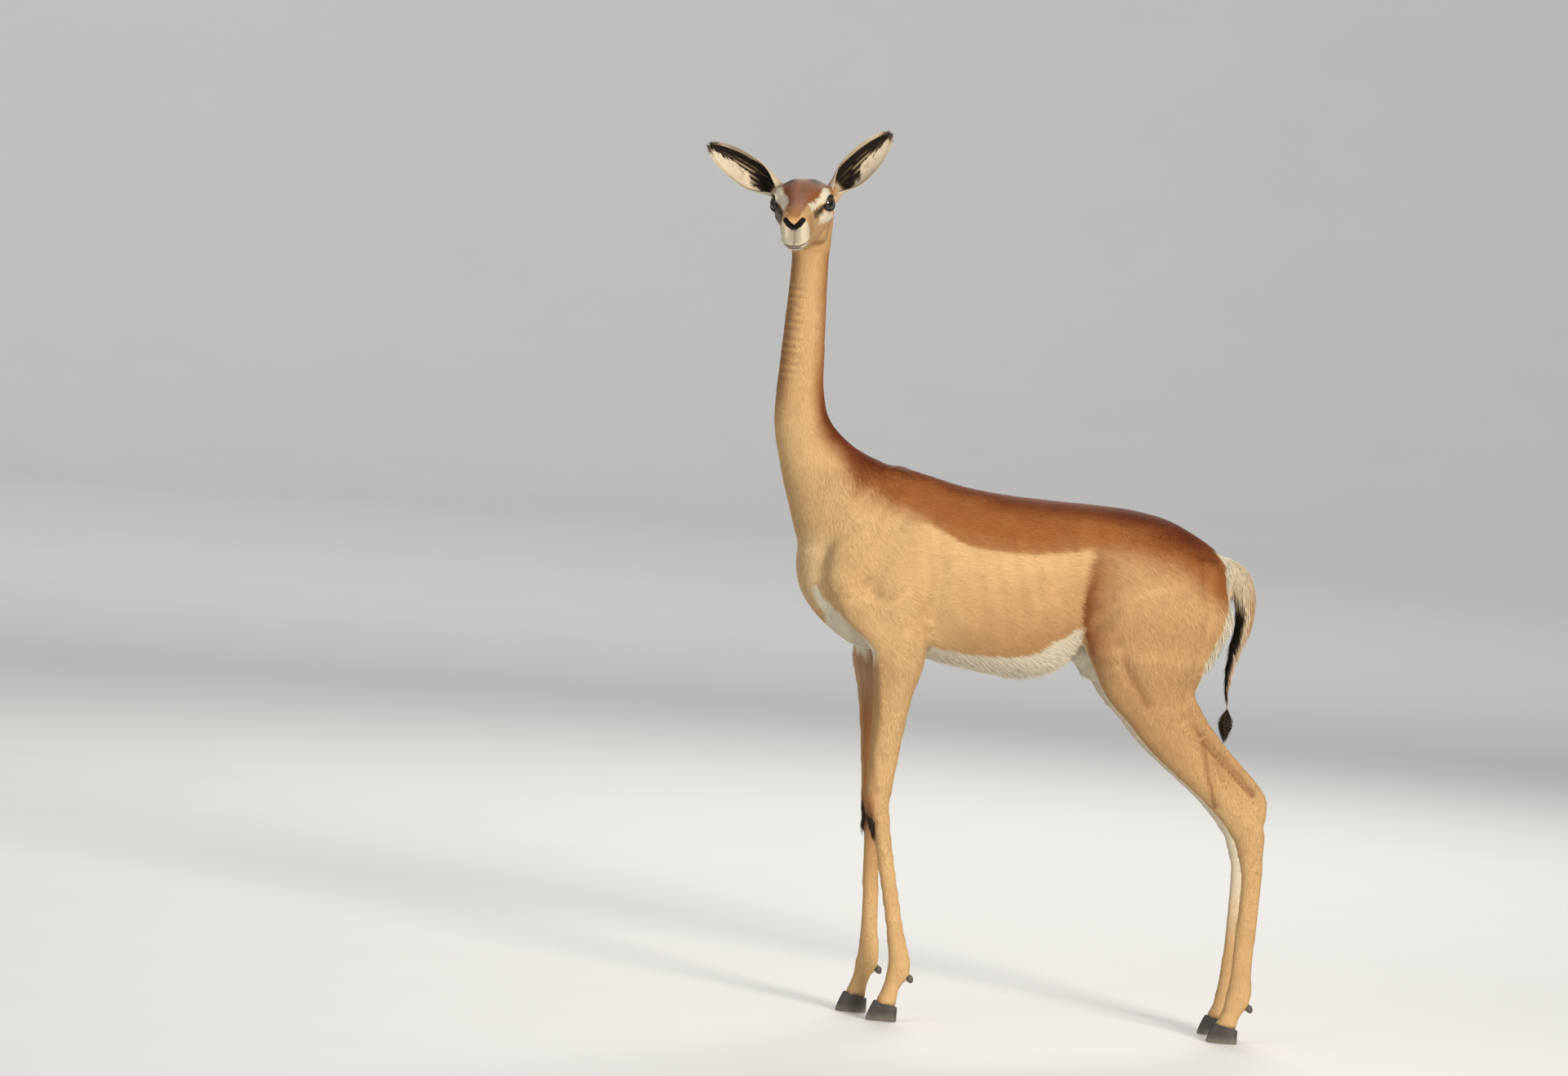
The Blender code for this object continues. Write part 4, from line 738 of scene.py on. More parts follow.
def nearHead(centres):
    return (toHead(centres)[:, 2] > -0.08) & (centres[:, 2] > 1.2)


def nearFeatures(centres):  # around the eyes, the nostrils and the mouth
    local = toHead(centres)
    chosen = (local[:, 0] > 0.128) & (local[:, 2] > -0.058)
    for side in (left, right):
        almond, _, reach = eyeAlmond(centres, side)
        chosen |= (almond < 1.6) & (reach < 0.027)
    return chosen


def nearEdges(centres):  # the lids' edges, the nostrils and the line of the mouth
    local = toHead(centres)
    off, fade = mouthOffset(local)
    chosen = (np.abs(off) < 0.0035) & (fade > 0) & (local[:, 0] > 0.1)
    for side in (left, right):
        almond, _, reach = eyeAlmond(centres, side)
        chosen |= (almond > 0.84) & (almond < 1.22) & (reach < 0.024)
        path = [(place[0], -side * place[1], place[2]) for place in nostrilForms["path"]]
        chosen |= pathDistance(local, path)[0] < 0.0052
    return chosen & nearFeatures(centres)


def buildSkin():
    skin = remeshed(fleshShapes(), skinLook["voxel"], skinLook["rounds"], "skin")
    fine = remeshed(headShapes(), skinLook["headVoxel"], skinLook["headRounds"], "fineHead")
    refined(skin.data, nearHead, 2)
    refined(skin.data, nearFeatures, 1)
    refined(skin.data, nearEdges, 1)
    surface = BVHTree.FromObject(fine, bpy.context.evaluated_depsgraph_get())
    places = placesOf(skin.data)
    blend = ramp(-0.078, -0.062, toHead(places)[:, 2]) * (places[:, 2] > 1.2)
    for k in np.nonzero(blend > 0)[0]:
        found = surface.find_nearest(places[k])[0]
        places[k] += (np.array(found) - places[k]) * blend[k]
    setPlaces(skin.data, places)
    bpy.data.objects.remove(fine)
    relaxed(skin.data, 2, 0.4, blend)
    legs = (region(places) >= 4) * 1.0
    for _ in range(5):  # evens out the legs without thinning them
        relaxed(skin.data, 1, 0.5, legs)
        relaxed(skin.data, 1, -0.52, legs)
    places, normals = placesOf(skin.data), normalsOf(skin.data)
    kind = region(places)
    depth = np.select([kind == 0, kind >= 3], [skinLook["headDepth"], skinLook["legDepth"]],
        skinLook["bodyDepth"])
    edges = edgesOf(skin.data)
    depth = depth[:, None]
    for _ in range(12):
        depth = averaged(depth, edges, len(places))
    places = places - normals * depth
    places = shapeHead(shapeBody(places, normals), normals)
    places = tuckIntoHooves(places)
    setPlaces(skin.data, shapeLids(places))
    return skin


skin = buildSkin()
print("skin:", len(skin.data.vertices), "points,", len(skin.data.polygons), "faces")


# Floor, light and camera

stageLook = {
    "floorColour": (0.84, 0.83, 0.81), "flatRadius": 15.5, "wallRadius": 20.0, "wallHeight": 5.0,
    "worldColour": (0.86, 0.875, 0.9), "worldStrength": 0.46,
    "keyPower": 76.0, "keyColour": (1.0, 0.945, 0.85), "keyPlace": (3.3, -7.0, 3.1), "keySize": 2.4,
    "fillPower": 105.0, "fillColour": (0.9, 0.94, 1.0), "fillPlace": (-5.0, -4.5, 3.0), "fillSize": 4.0,
    "backPower": 120.0, "backColour": (1.0, 0.97, 0.92), "backPlace": (1.5, 6.0, 4.5), "backSize": 4.0,
    "wallPower": 330.0, "wallColour": (0.97, 0.98, 1.0), "wallPlace": (0.0, 8.0, 8.0), "wallSize": 7.0,
}
cameraPose = {  # how the photograph was taken
    "azimuth": -6.0, "elevation": 3.05, "roll": 4.4, "distance": 14.0, "frameWidth": 2.65,
    "anchor": (0.12694, 0.02957, -0.0046), "aim": (-0.4002, 0.8294),
}


def buildStage(material):
    look = stageLook
    profile = [(0.0, 0.0), (4.0, 0.0), (9.0, 0.0), (look["flatRadius"], 0.0)]
    for step in range(1, 9):
        angle = math.pi / 2 * step / 8
        profile.append((mix(look["flatRadius"], look["wallRadius"], math.sin(angle)),
                        look["wallHeight"] * (1 - math.cos(angle))))
    points, faces, sides = [], [], 96
    for radius, height in profile:
        for k in range(sides):
            angle = 2 * math.pi * k / sides
            points.append((radius * math.cos(angle), radius * math.sin(angle), height))
    for row in range(len(profile) - 1):
        for k in range(sides):
            low, after = row * sides, (k + 1) % sides
            faces.append((low + k, low + after, low + sides + after, low + sides + k))
    floor = objectOf("floor", points, faces)
    floor.data.shade_smooth()
    floor.data.materials.append(material)


def softLight(name, power, colour, place, size, aim, spread):
    lamp = bpy.data.lights.new(name, "AREA")
    lamp.energy, lamp.color, lamp.shape, lamp.size = power, colour, "DISK", size
    made = bpy.data.objects.new(name, lamp)
    made.location = place
    made.rotation_euler = (Vector(place) - Vector(aim)).to_track_quat("Z", "Y").to_euler()
    made.visible_camera = False
    lamp.spread = math.radians(spread)
    bpy.context.scene.collection.objects.link(made)


def buildLights():
    look = stageLook
    middle = (0, 0, 0.7)
    for name, aim, spread in (("key", middle, 60), ("fill", middle, 180), ("back", middle, 120),
            ("wall", (0, 20, 4), 180)):
        softLight(name + "Light", look[name + "Power"], look[name + "Colour"], look[name + "Place"],
                  look[name + "Size"], aim, spread)
    world = bpy.data.worlds.new("studio")
    world.use_nodes = True
    sky = world.node_tree.nodes["Background"]
    sky.inputs["Color"].default_value = (*look["worldColour"], 1.0)
    sky.inputs["Strength"].default_value = look["worldStrength"]
    bpy.context.scene.world = world
    bpy.context.scene.view_settings.view_transform = "Standard"


def buildCamera():
    pose = cameraPose
    azimuth, elevation = math.radians(pose["azimuth"]), math.radians(pose["elevation"])
    towards = Vector((math.sin(azimuth) * math.cos(elevation), -math.cos(azimuth) * math.cos(elevation),
                      math.sin(elevation)))
    turn = towards.to_track_quat("Z", "Y").to_matrix() @ Matrix.Rotation(math.radians(pose["roll"]), 3, "Z")
    target = Vector(pose["anchor"]) + turn.col[0] * pose["aim"][0] + turn.col[1] * pose["aim"][1]
    lens = bpy.data.cameras.new("camera")
    lens.sensor_width = 36.0
    lens.lens = 36.0 * pose["distance"] / pose["frameWidth"]
    lens.clip_end = 100.0
    camera = bpy.data.objects.new("camera", lens)
    camera.matrix_world = Matrix.Translation(target + towards * pose["distance"]) @ turn.to_4x4()
    bpy.context.scene.collection.objects.link(camera)
    bpy.context.scene.camera = camera


# Markings: how much of each colour the coat has at a place, the same for skin and hair

markingForms = {
    "saddle": ((-0.42, -0.4, -0.385, -0.357, -0.3, -0.243, -0.169, -0.12, -0.07, -0.0135, 0.029, 0.099, 0.15,
                0.2, 0.25, 0.3),
               (1.05, 0.985, 0.935, 0.888, 0.862, 0.846, 0.811, 0.805, 0.802, 0.8105, 0.8165, 0.808, 0.793,
                0.776, 0.745, 0.715)),  # x, and height of the saddle's lower edge
    "fade": ((-0.44, -0.34, -0.26, -0.2, 0.03, 0.08, 0.18, 0.3),
             (0.07, 0.036, 0.018, 0.0055, 0.006, 0.028, 0.05, 0.036)),  # x, and how softly that edge ends
    "belly": ((-0.3, -0.216, -0.153, -0.1085, -0.068, -0.036, -0.013, 0.021, 0.05, 0.09),
              (0.634, 0.634, 0.628, 0.627, 0.63, 0.64, 0.657, 0.679, 0.688, 0.69)),
    "streak": ((-0.43, -0.401, -0.348, -0.3065, -0.24), (0.752, 0.712, 0.66, 0.628, 0.618)),
    "thighEdge": ((0.596, 0.652, 0.692, 0.738, 0.809, 0.86), (0.074, 0.048, 0.034, 0.032, 0.042, 0.044)),
    # height, and x
    "rumpWhite": ((0.621, 0.645, 0.669, 0.7, 0.729, 0.753, 0.787, 0.815),
                  (0.247, 0.254, 0.264, 0.277, 0.283, 0.284, 0.282, 0.277)),
                  # height, and x of the white's front edge
    "grooveShadeLines": ((0.0052, 0.5, (0.246, 0.53), (0.262, 0.505), (0.304, 0.465), (0.35, 0.424)),
                (0.0042, 0.42, (0.262, 0.5), (0.27, 0.452), (0.288, 0.4)),
                (0.008, 0.4, (0.112, 0.64), (0.124, 0.618), (0.158, 0.566))),  # dark lines on the hind leg: painted shade along its grooves
}


faceForms = {  # forward places and how far out each marking's edge lies there
    "blaze": ((-0.03, 0.01, 0.034, 0.065, 0.089, 0.109, 0.13, 0.15, 0.165),
              (0.036, 0.0405, 0.042, 0.0315, 0.0238, 0.0175, 0.0145, 0.015, 0.009)),
    "whiteTop": ((0.005, 0.02, 0.065, 0.095, 0.118, 0.13), (0.066, 0.066, 0.05, 0.035, 0.0265, 0.02)),
    "eyeLine": ((0.02, 0.05, 0.065, 0.095, 0.115), (0.052, 0.034, 0.022, 0.0135, 0.01)),  # and its height
    "muzzle": ((-0.06, -0.038, -0.027, -0.011, 0.0, 0.012), (0.108, 0.118, 0.134, 0.156, 0.163, 0.172)),
    # height, forward
}


def headMarkings(local, facing, wave, fine):
    ahead, out, up = local[:, 0], np.abs(local[:, 1]), local[:, 2]
    form, folded = faceForms, np.stack([ahead, out, up], axis=1)
    places = fromHead(local)
    almond, level = np.full(len(local), 9.0), np.zeros(len(local))
    for which in (left, right):
        near = (local[:, 1] > 0) == (which == left)
        if near.any():
            almond[near], level[near], _ = eyeAlmond(places[near], which)
    rough = wave * 0.0045 + fine * 0.004
    upper = ramp(-0.3, 0.1, facing[:, 2] + 0.4 * ramp(0.07, 0.12, ahead))
    sideOut = np.abs(local[:, 1] - 0.003 * bump(ahead, 0.085, 0.03))  # the blaze isn't quite even
    blaze = ramp(0.0026, -0.0026, sideOut - np.interp(ahead, *form["blaze"]) + rough)
    blaze = blaze * upper * ramp(-0.004, 0.004, up - 0.002 + rough) * ramp(0.17, 0.166, ahead)
    crown = (np.exp(-((ahead - 0.026) / 0.018) ** 2 - ((out - 0.0205) / 0.0095) ** 2)
        * ramp(0.2, 0.6, facing[:, 2]))
    crown = np.clip(crown * (1.25 + 2.2 * fine + 0.8 * wave), 0, 1)
    lidLine = up - np.interp(ahead, *form["eyeLine"]) + rough  # over the line from eye to tear duct
    band = ramp(-0.0022, 0.0022, sideOut - np.interp(ahead, *form["blaze"]) - rough)
    band = (band * ramp(-0.0015, 0.002, lidLine) * ramp(0.008, 0.02, ahead + rough)
        * ramp(0.122, 0.11, ahead + rough))
    band = band * ramp(0.0, -0.004, out - np.interp(ahead, *form["whiteTop"]) - 0.003)
    under = pathDistance(folded, ((0.036, 0.045, -0.002), (0.06, 0.042, -0.002), (0.074, 0.0365, -0.002)))[0]
    under = ramp(0.0125, 0.008, under + rough * 1.6) * ramp(0.9, 1.1, almond)
    edge = np.interp(up, *form["muzzle"])
    muzzle = ramp(-0.004, 0.004, ahead - edge + rough * 1.4) * (1 - blaze) * ramp(0.016, 0.006, up)
    muzzle = muzzle * np.maximum(ramp(0.012, 0.017, out), ramp(-0.008, -0.014, up))
    chin = ramp(-0.044, -0.05, up + rough * 1.3) * ramp(0.06, 0.1, ahead)
    temple = ramp(0.006, -0.012, ahead + rough * 2) * ramp(-0.006, 0.01, up + rough) * ramp(0.03, 0.038, out)
    white = np.maximum.reduce([band, under * 0.95, muzzle * 0.8, chin * 0.85, temple * 0.7])
    gland, _ = pathDistance(folded, ((0.1, 0.029, 0.005), (0.088, 0.032, 0.006), (0.076, 0.036, 0.009)))
    tear, _ = pathDistance(folded, ((0.091, 0.0315, 0.005), (0.078, 0.035, 0.011), (0.066, 0.0395, 0.0175)))
    # A dark band on the head's right side, from the eye towards the muzzle: painted shade.
    rightCheekShade, _ = pathDistance(folded, ((0.03, 0.047, 0.004), (0.085, 0.036, 0.0), (0.135, 0.024, -0.006)))
    rightCheekShade = ramp(0.017, 0.01, rightCheekShade + rough) * (local[:, 1] < 0) * 0.8
    nostril, _ = pathDistance(folded * (0.4, 1, 1),
        [(place[0] * 0.4, abs(place[1]), place[2]) for place in nostrilForms["path"]])
    # The gland's own dark, stronger on the head's right side, where the extra dark is painted shade.
    glandDarkAndShade = np.where(local[:, 1] < 0, 0.95, 0.78)
    off, fade = mouthOffset(local)
    lips = bump(off, -0.0004, 0.0016) * fade
    lowerLip = bump(off, -0.0036, 0.0032) * ramp(0.14, 0.15, ahead) * ramp(0.015, 0.009, out) * 0.85
    philtrum = (ramp(0.0042, 0.0016, out + np.abs(rough) * 0.5) * ramp(0.15, 0.16, ahead) * (up < -0.008)
        * (off > 0))
    pad = (ramp(0.009, 0.0035, out + (up + 0.016) * 0.4) * bump(up, -0.0155, 0.005)
        * ramp(0.155, 0.162, ahead))
    black = np.maximum.reduce([
        ramp(1.17, 1.07, almond), 0.92 * ramp(1.34, 1.12, almond) * ramp(0.15, -0.5, level + 0.3),
        ramp(0.0056, 0.0042, nostril) * (ahead > 0.14), lips, lowerLip, 0.9 * pad, 0.62 * philtrum,
        rightCheekShade, 0.95 * ramp(0.0044, 0.0026, tear), glandDarkAndShade * ramp(0.01, 0.004, gland + rough * 1.2),
        0.97 * crown])
    grey = (ramp(0.13, 0.16, ahead) * ramp(0.02, 0.004, out) * ramp(-0.004, -0.016, up)
        * ramp(-0.048, -0.036, up))
    black = np.maximum(black, 0.5 * grey)
    black = np.maximum(black, 0.22 * muzzle * (0.5 + wave + fine))
    brown = bump(ahead, 0.004, 0.012) * bump(out, 0.044, 0.006) * ramp(0.018, 0.03, up)
    rust = np.maximum(blaze * mix(1.0, 0.72, bump(ahead, 0.02, 0.02) * bump(out, 0.0, 0.01)), 0.75 * brown)
    rust = np.maximum(rust, 0.55 * ramp(0.013, 0.007, np.abs(out - 0.0265)) * bump(ahead, 0.132, 0.018)
        * ramp(0.012, 0.002, up))
    rust = np.maximum(rust, 0.45 * ramp(0.005, -0.02, ahead) * ramp(0.03, 0.046, up) * (out < 0.038))
    rust = np.maximum(rust, 0.22 + 0.2 * wave) * ramp(-0.2, 0.4, 1 - white)
    rust = rust * mix(1.0, 0.72, blaze * ramp(0.125, 0.155, ahead))
    dark = blaze * mix(0.16, 0.42, ramp(0.1, 0.03, ahead)) * ramp(0.002, 0.016, out) + 0.35 * brown
    pale = 0.15 + 0.25 * ramp(-0.02, -0.045, up)
    return rust, white, np.clip(black, 0, 1), np.clip(dark, 0, 1), pale


def tailMarkings(places, normals, wave, fine):
    z = places[:, 2]
    outer = normals[:, 0] + normals[:, 2] * 0.35
    dark = ramp(0.765, 0.725, z + wave * 0.02) * ramp(0.02, -0.48, outer + fine * 0.5)
    tan = 0.4 + 0.6 * ramp(-0.1, 0.45, outer + wave * 0.6 + fine * 0.4) * ramp(0.8, 0.74, z)
    tip = ramp(0.572, 0.556, z + fine * 0.01)
    return tan * (1 - tip) * 0.9, np.maximum(dark, tip)


def markings(places, normals):
    x, y, z = places.T
    kind = region(places)
    wave, fine = roughCloud(places, 0.032, 1) - 0.5, cloud(places, 0.005, 2) - 0.5
    away = normals[:, 1] * np.sign(y)  # 1 where the surface faces out to its own side
    front, flank = (x < -0.1) * 1.0, ramp(-0.27, -0.04, x + wave * 0.06)
    foreLeg, hindLeg = front * ramp(0.66, 0.58, z), ramp(0.03, 0.07, x) * ramp(0.7, 0.6, z)
    lean = ramp(0.9, 1.04, z) * math.pi / 2
    dorsal = normals[:, 0] * np.sin(lean) + normals[:, 2] * np.cos(lean)
    neck = ramp(0.98, 1.07, z) * front
    edge, soft = np.interp(x, *markingForms["saddle"]), np.interp(x, *markingForms["fade"])
    saddle = (ramp(-1.0, 1.0, (z - edge + wave * 0.01 + fine * 0.006) / soft) * (1 - neck)
        * ramp(0.66, 0.72, z))
    nape = ramp(0.05, 0.95, dorsal + wave * 0.25) * front * ramp(0.86, 0.94, z)
    rust = np.maximum(saddle * mix(0.84, 1.0, ramp(0.0, 0.035, z - edge)), nape
        * mix(0.74, 0.98, ramp(1.16, 0.98, z)))
    # Darker where the saddle faces up: partly the saddle's own dark top, partly painted shade of the top
    # surfaces.
    dark = saddle * ramp(0.62, 0.97, dorsal + wave * 0.15) * mix(0.72, 0.95, ramp(0.02, 0.12, x))
    dark = np.maximum(dark, nape * nape * ramp(1.12, 0.97, z) * 0.88)
    # Darker still over the rump's top: partly its own colour, partly painted shade.
    dark = np.maximum(dark, saddle * ramp(0.3, 0.9, dorsal + wave * 0.2) * bump(x, 0.2, 0.075) * 0.95)
    # Dark rust behind the thigh's front edge: partly the thigh's own rusty edge, partly painted shade of the
    # fold there.
    behind = x - np.interp(z, *markingForms["thighEdge"]) + wave * 0.012
    thigh = (ramp(-1.0, 1.0, behind / mix(0.006, 0.016, ramp(0.72, 0.8, z)))
        * np.exp(-np.clip(behind, 0, None) / 0.055) * ramp(0.56, 0.68, z))
    thigh = thigh * ramp(0.055, 0.075, np.abs(y)) * ramp(0.87, 0.79, z)
    rust = np.maximum(rust, 0.92 * thigh)
    dark = np.maximum(dark, 0.88 * thigh**2.4)
    rust = np.maximum(rust, 0.34 * ramp(0.06, 0.14, x) * ramp(0.6, 0.84, z + wave * 0.1))
    rust = np.maximum(rust, 0.4 * ramp(0.3, 0.95, normals[:, 0]) * ramp(0.12, 0.2, x) * ramp(0.42, 0.6, z))
    rust = np.maximum(rust, 0.75 * bump(z, 0.362, 0.03) * foreLeg * ramp(0.2, -0.6, normals[:, 0]))
    # Rustier down the forelegs' fronts: painted shade.
    rust = np.maximum(rust, 0.3 * foreLeg * ramp(0.1, -0.8, normals[:, 0]))
    # Rustier and darker down the front of the neck: mostly painted shade of the throat, partly its own rusty
    # tone.
    rust = np.maximum(rust, 0.48 * ramp(0.2, -0.9, normals[:, 0]) * neck)
    dark = np.maximum(dark, 0.26 * ramp(-0.3, -0.95, normals[:, 0]) * neck)
    rust = np.maximum(rust, mix(0.22, 0.46, ramp(0.74, 0.65, z + wave * 0.03)) * flank * (1 - hindLeg))
    rust = np.maximum(rust, 0.2 * hindLeg * ramp(0.4, 0.48, z) + 0.14 * neck + 0.1 * hindLeg)
    # Painted shade along the hind leg's grooves, in rust and dark.
    for radius, depth, *path in markingForms["grooveShadeLines"]:
        grooveShade = (np.exp(-((pathDistance(places[:, [0, 2]], path)[0] / radius) ** 2)) * depth
            * ramp(0.1, 0.5, away))
        rust, dark = np.maximum(rust, grooveShade), np.maximum(dark, grooveShade * 0.75)
    rust = np.clip(rust + wave * 0.16 + fine * 0.05, 0, 1)
    below = edge - z
    pale = ramp(-0.001, 0.006, below) * ramp(0.062, 0.012, below + wave * 0.02) * ramp(-0.29, -0.2, x) \
        * ramp(0.085, 0.045, x)
    pale = pale * (1 - thigh)
    pale = np.maximum(pale, 0.55 * bump(z, 0.8, 0.05) * bump(x, -0.33, 0.06) * (1 - saddle))
    breast = ramp(-0.375, -0.415, x + wave * 0.02) * ramp(0.83, 0.79, z) * ramp(0.66, 0.7, z)
    pale = np.maximum(np.maximum(pale, breast), 0.55 * foreLeg * ramp(0.33, 0.28, z))
    pale = np.maximum(pale, 0.45 * hindLeg * bump(z, 0.385, 0.018) * ramp(0.3, 0.34, x))
    pale = np.maximum(pale, 0.3 * neck * ramp(0.3, 0.9, away))
    shaded = foreLeg * ramp(0.1, 0.8, -away) * ramp(0.15, 0.36, z)
    rust, dark = np.maximum(rust, 0.72 * shaded), np.maximum(dark, 0.22 * shaded)
    pale = np.maximum(pale, 0.45 * ramp(0.12, 0.05, z))
    rust = rust * (1.0 - 0.8 * pale * (1 - saddle))
    rough = fine * 0.006 + wave * 0.005
    under = ramp(0.0026, -0.0026, z - np.interp(x, *markingForms["belly"]) + rough) * ramp(-0.285, -0.27, x)
    under = under * np.maximum(ramp(0.042, 0.034, x + rough), ramp(0.064, 0.052, np.abs(y))
        * ramp(0.16, 0.13, x))
    upperArm = ramp(-0.214, -0.224, x + rough + 0.1 * (0.62 - z)) * ramp(0.034, 0.042, np.abs(y))
    under = under * (z > 0.56) * (1 - upperArm)
    height = z - np.interp(x, *markingForms["streak"]) + rough
    streak = ramp(0.003, -0.003, height) * ramp(-0.026, -0.019, height) * ramp(-0.425, -0.408, x)
    streak = streak * ramp(-0.3, -0.31, x + rough)
    streak = np.maximum(streak, ramp(0.0, -0.004, height) * ramp(0.04, 0.028, np.abs(y) + rough)
        * (x < -0.24) * (x > -0.39))
    streak = streak * (z > 0.56)
    inside = ramp(0.3, 0.55, -away - normals[:, 0] * 0.42 + fine * 0.25)
    inner = inside * hindLeg * ramp(0.14, 0.3, z + wave * 0.03)
    inner = np.maximum(inner, inside * foreLeg * ramp(0.5, 0.58, z) * 0.2)
    rump = ramp(-0.002, 0.003, x - np.interp(z, *markingForms["rumpWhite"]) + fine * 0.006 + wave * 0.004)
    rump = rump * ramp(0.0, 0.3, normals[:, 0])
    rump = np.maximum(rump, ramp(0.024, 0.016, np.abs(y) + fine * 0.008) * ramp(0.05, 0.3, normals[:, 0]))
    rump = rump * (x > 0.2) * ramp(0.58, 0.62, z) * ramp(0.832, 0.818, z)
    groin = ramp(0.02, 0.035, x) * ramp(0.16, 0.14, x) * ramp(0.05, 0.042, np.abs(y)) * ramp(0.7, 0.68, z)
    white = np.maximum.reduce([under, streak, inner * 0.9, rump, groin, breast * 0.15])
    black = hindLeg * 0.0
    black = np.maximum(black, foreLeg * bump(z, 0.336, 0.018) * ramp(-0.1, -0.7, normals[:, 0]) * 0.85)
    black = np.maximum(black, ramp(0.036, 0.028, z + wave * 0.01) * 0.55)
    tail, head = kind == 3, kind == 0
    if tail.any():
        tan, ink = tailMarkings(places[tail], normals[tail], wave[tail], fine[tail])
        white[tail], black[tail], rust[tail], pale[tail], dark[tail] = (1 - np.maximum(tan, ink), ink, 0.4
            + 0.25 * ramp(0.76, 0.7, z[tail]), 0.4, 0.0)
    if head.any():
        made = headMarkings(toHead(places[head]), normals[head] @ headFrame.T, wave[head], fine[head])
        for mask, values in zip((rust, white, black, dark, pale), made):
            mask[head] = values
    return {"rust": rust * (1 - white), "pale": pale, "white": white, "black": np.clip(black, 0, 1),
        "dark": dark * (1 - white)}


# Shader groups that several materials share

def groupOf(name, inputs, outputs):
    group = bpy.data.node_groups.new(name, "ShaderNodeTree")
    for label, kind, value in inputs:
        socket = group.interface.new_socket(name=label, in_out="INPUT", socket_type=kind)
        if value is not None:
            socket.default_value = value
    for label, kind in outputs:
        group.interface.new_socket(name=label, in_out="OUTPUT", socket_type=kind)
    return group, group.nodes.new("NodeGroupInput"), group.nodes.new("NodeGroupOutput")


def wire(tree, start, end):
    tree.links.new(start, end)


def mixNode(tree, factor, low, high, blend="MIX"):
    node = tree.nodes.new("ShaderNodeMix")
    node.data_type, node.blend_type = "RGBA", blend
    for value, socket in ((factor, node.inputs[0]), (low, node.inputs[6]), (high, node.inputs[7])):
        if isinstance(value, bpy.types.NodeSocket):
            wire(tree, value, socket)
        else:
            socket.default_value = value
    return node.outputs[2]


def mathNode(tree, operation, first, second=0.0, third=None):
    node = tree.nodes.new("ShaderNodeMath")
    node.operation = operation
    for value, socket in zip((first, second, third), node.inputs):
        if isinstance(value, bpy.types.NodeSocket):
            wire(tree, value, socket)
        elif value is not None:
            socket.default_value = value
    return node.outputs[0]


def noiseNode(tree, scale, detail=3.0, stretch=(1.0, 1.0, 1.0)):
    place = tree.nodes.new("ShaderNodeNewGeometry")
    mapping = tree.nodes.new("ShaderNodeMapping")
    mapping.inputs["Scale"].default_value = stretch
    wire(tree, place.outputs["Position"], mapping.inputs["Vector"])
    noise = tree.nodes.new("ShaderNodeTexNoise")
    noise.inputs["Scale"].default_value = scale
    noise.inputs["Detail"].default_value = detail
    wire(tree, mapping.outputs[0], noise.inputs["Vector"])
    return noise.outputs["Fac"]


coatColours = {
    "Tan": (0.655, 0.412, 0.192, 1.0), "Rust": (0.335, 0.112, 0.031, 1.0), "Buff": (0.7, 0.445, 0.2, 1.0),
    "White": (0.8, 0.712, 0.54, 1.0), "Black": (0.016, 0.012, 0.01, 1.0), "Umber": (0.115, 0.02, 0.006, 1.0),
}


def buildCoatGroup():  # mixes the coat's colours by its masks
    names = list(coatColours)
    masks = ("rustMask", "paleMask", "whiteMask", "blackMask", "darkMask", "variation")
    group, given, out = groupOf("coatMarkings",
        [(name, "NodeSocketColor", coatColours[name]) for name in names]
                                + [(name, "NodeSocketFloat", 0.0) for name in masks],
                                [("Color", "NodeSocketColor")])
    patches = noiseNode(group, 26.0, 4.0)
    tint = mathNode(group, "MULTIPLY_ADD", patches, 0.22, 0.89)
    colour = mixNode(group, given.outputs["paleMask"], given.outputs["Tan"], given.outputs["Buff"])
    colour = mixNode(group, given.outputs["rustMask"], colour, given.outputs["Rust"])
    colour = mixNode(group, given.outputs["darkMask"], colour, given.outputs["Umber"])
    colour = mixNode(group, given.outputs["whiteMask"], colour, given.outputs["White"])
    colour = mixNode(group, given.outputs["blackMask"], colour, given.outputs["Black"])
    shade = mathNode(group, "MULTIPLY", tint, given.outputs["variation"])
    grey = group.nodes.new("ShaderNodeCombineColor")
    for k in range(3):
        wire(group, shade, grey.inputs[k])
    wire(group, mixNode(group, 1.0, colour, grey.outputs[0], "MULTIPLY"), out.inputs["Color"])
    return group


def buildGrainGroup():  # fine streaks and pores as a height
    group, given, out = groupOf("hairGrain", [("scale", "NodeSocketFloat", 900.0)],
        [("Height", "NodeSocketFloat")])
    place = group.nodes.new("ShaderNodeNewGeometry")
    noise = group.nodes.new("ShaderNodeTexNoise")
    noise.inputs["Detail"].default_value = 4.0
    wire(group, place.outputs["Position"], noise.inputs["Vector"])
    wire(group, given.outputs["scale"], noise.inputs["Scale"])
    wire(group, noise.outputs["Fac"], out.inputs["Height"])
    return group


coatGroup = buildCoatGroup()
grainGroup = buildGrainGroup()


def newMaterial(name):
    material = bpy.data.materials.new(name)
    material.use_nodes = True
    tree = material.node_tree
    return material, tree, tree.nodes["Principled BSDF"]


def attribute(tree, name):
    node = tree.nodes.new("ShaderNodeAttribute")
    node.attribute_name = name
    return node.outputs["Fac"]


def grainBump(tree, shader, scale, strength, distance):
    grain = tree.nodes.new("ShaderNodeGroup")
    grain.node_tree = grainGroup
    grain.inputs["scale"].default_value = scale
    relief = tree.nodes.new("ShaderNodeBump")
    relief.inputs["Strength"].default_value = strength
    relief.inputs["Distance"].default_value = distance
    wire(tree, grain.outputs["Height"], relief.inputs["Height"])
    wire(tree, relief.outputs[0], shader.inputs["Normal"])


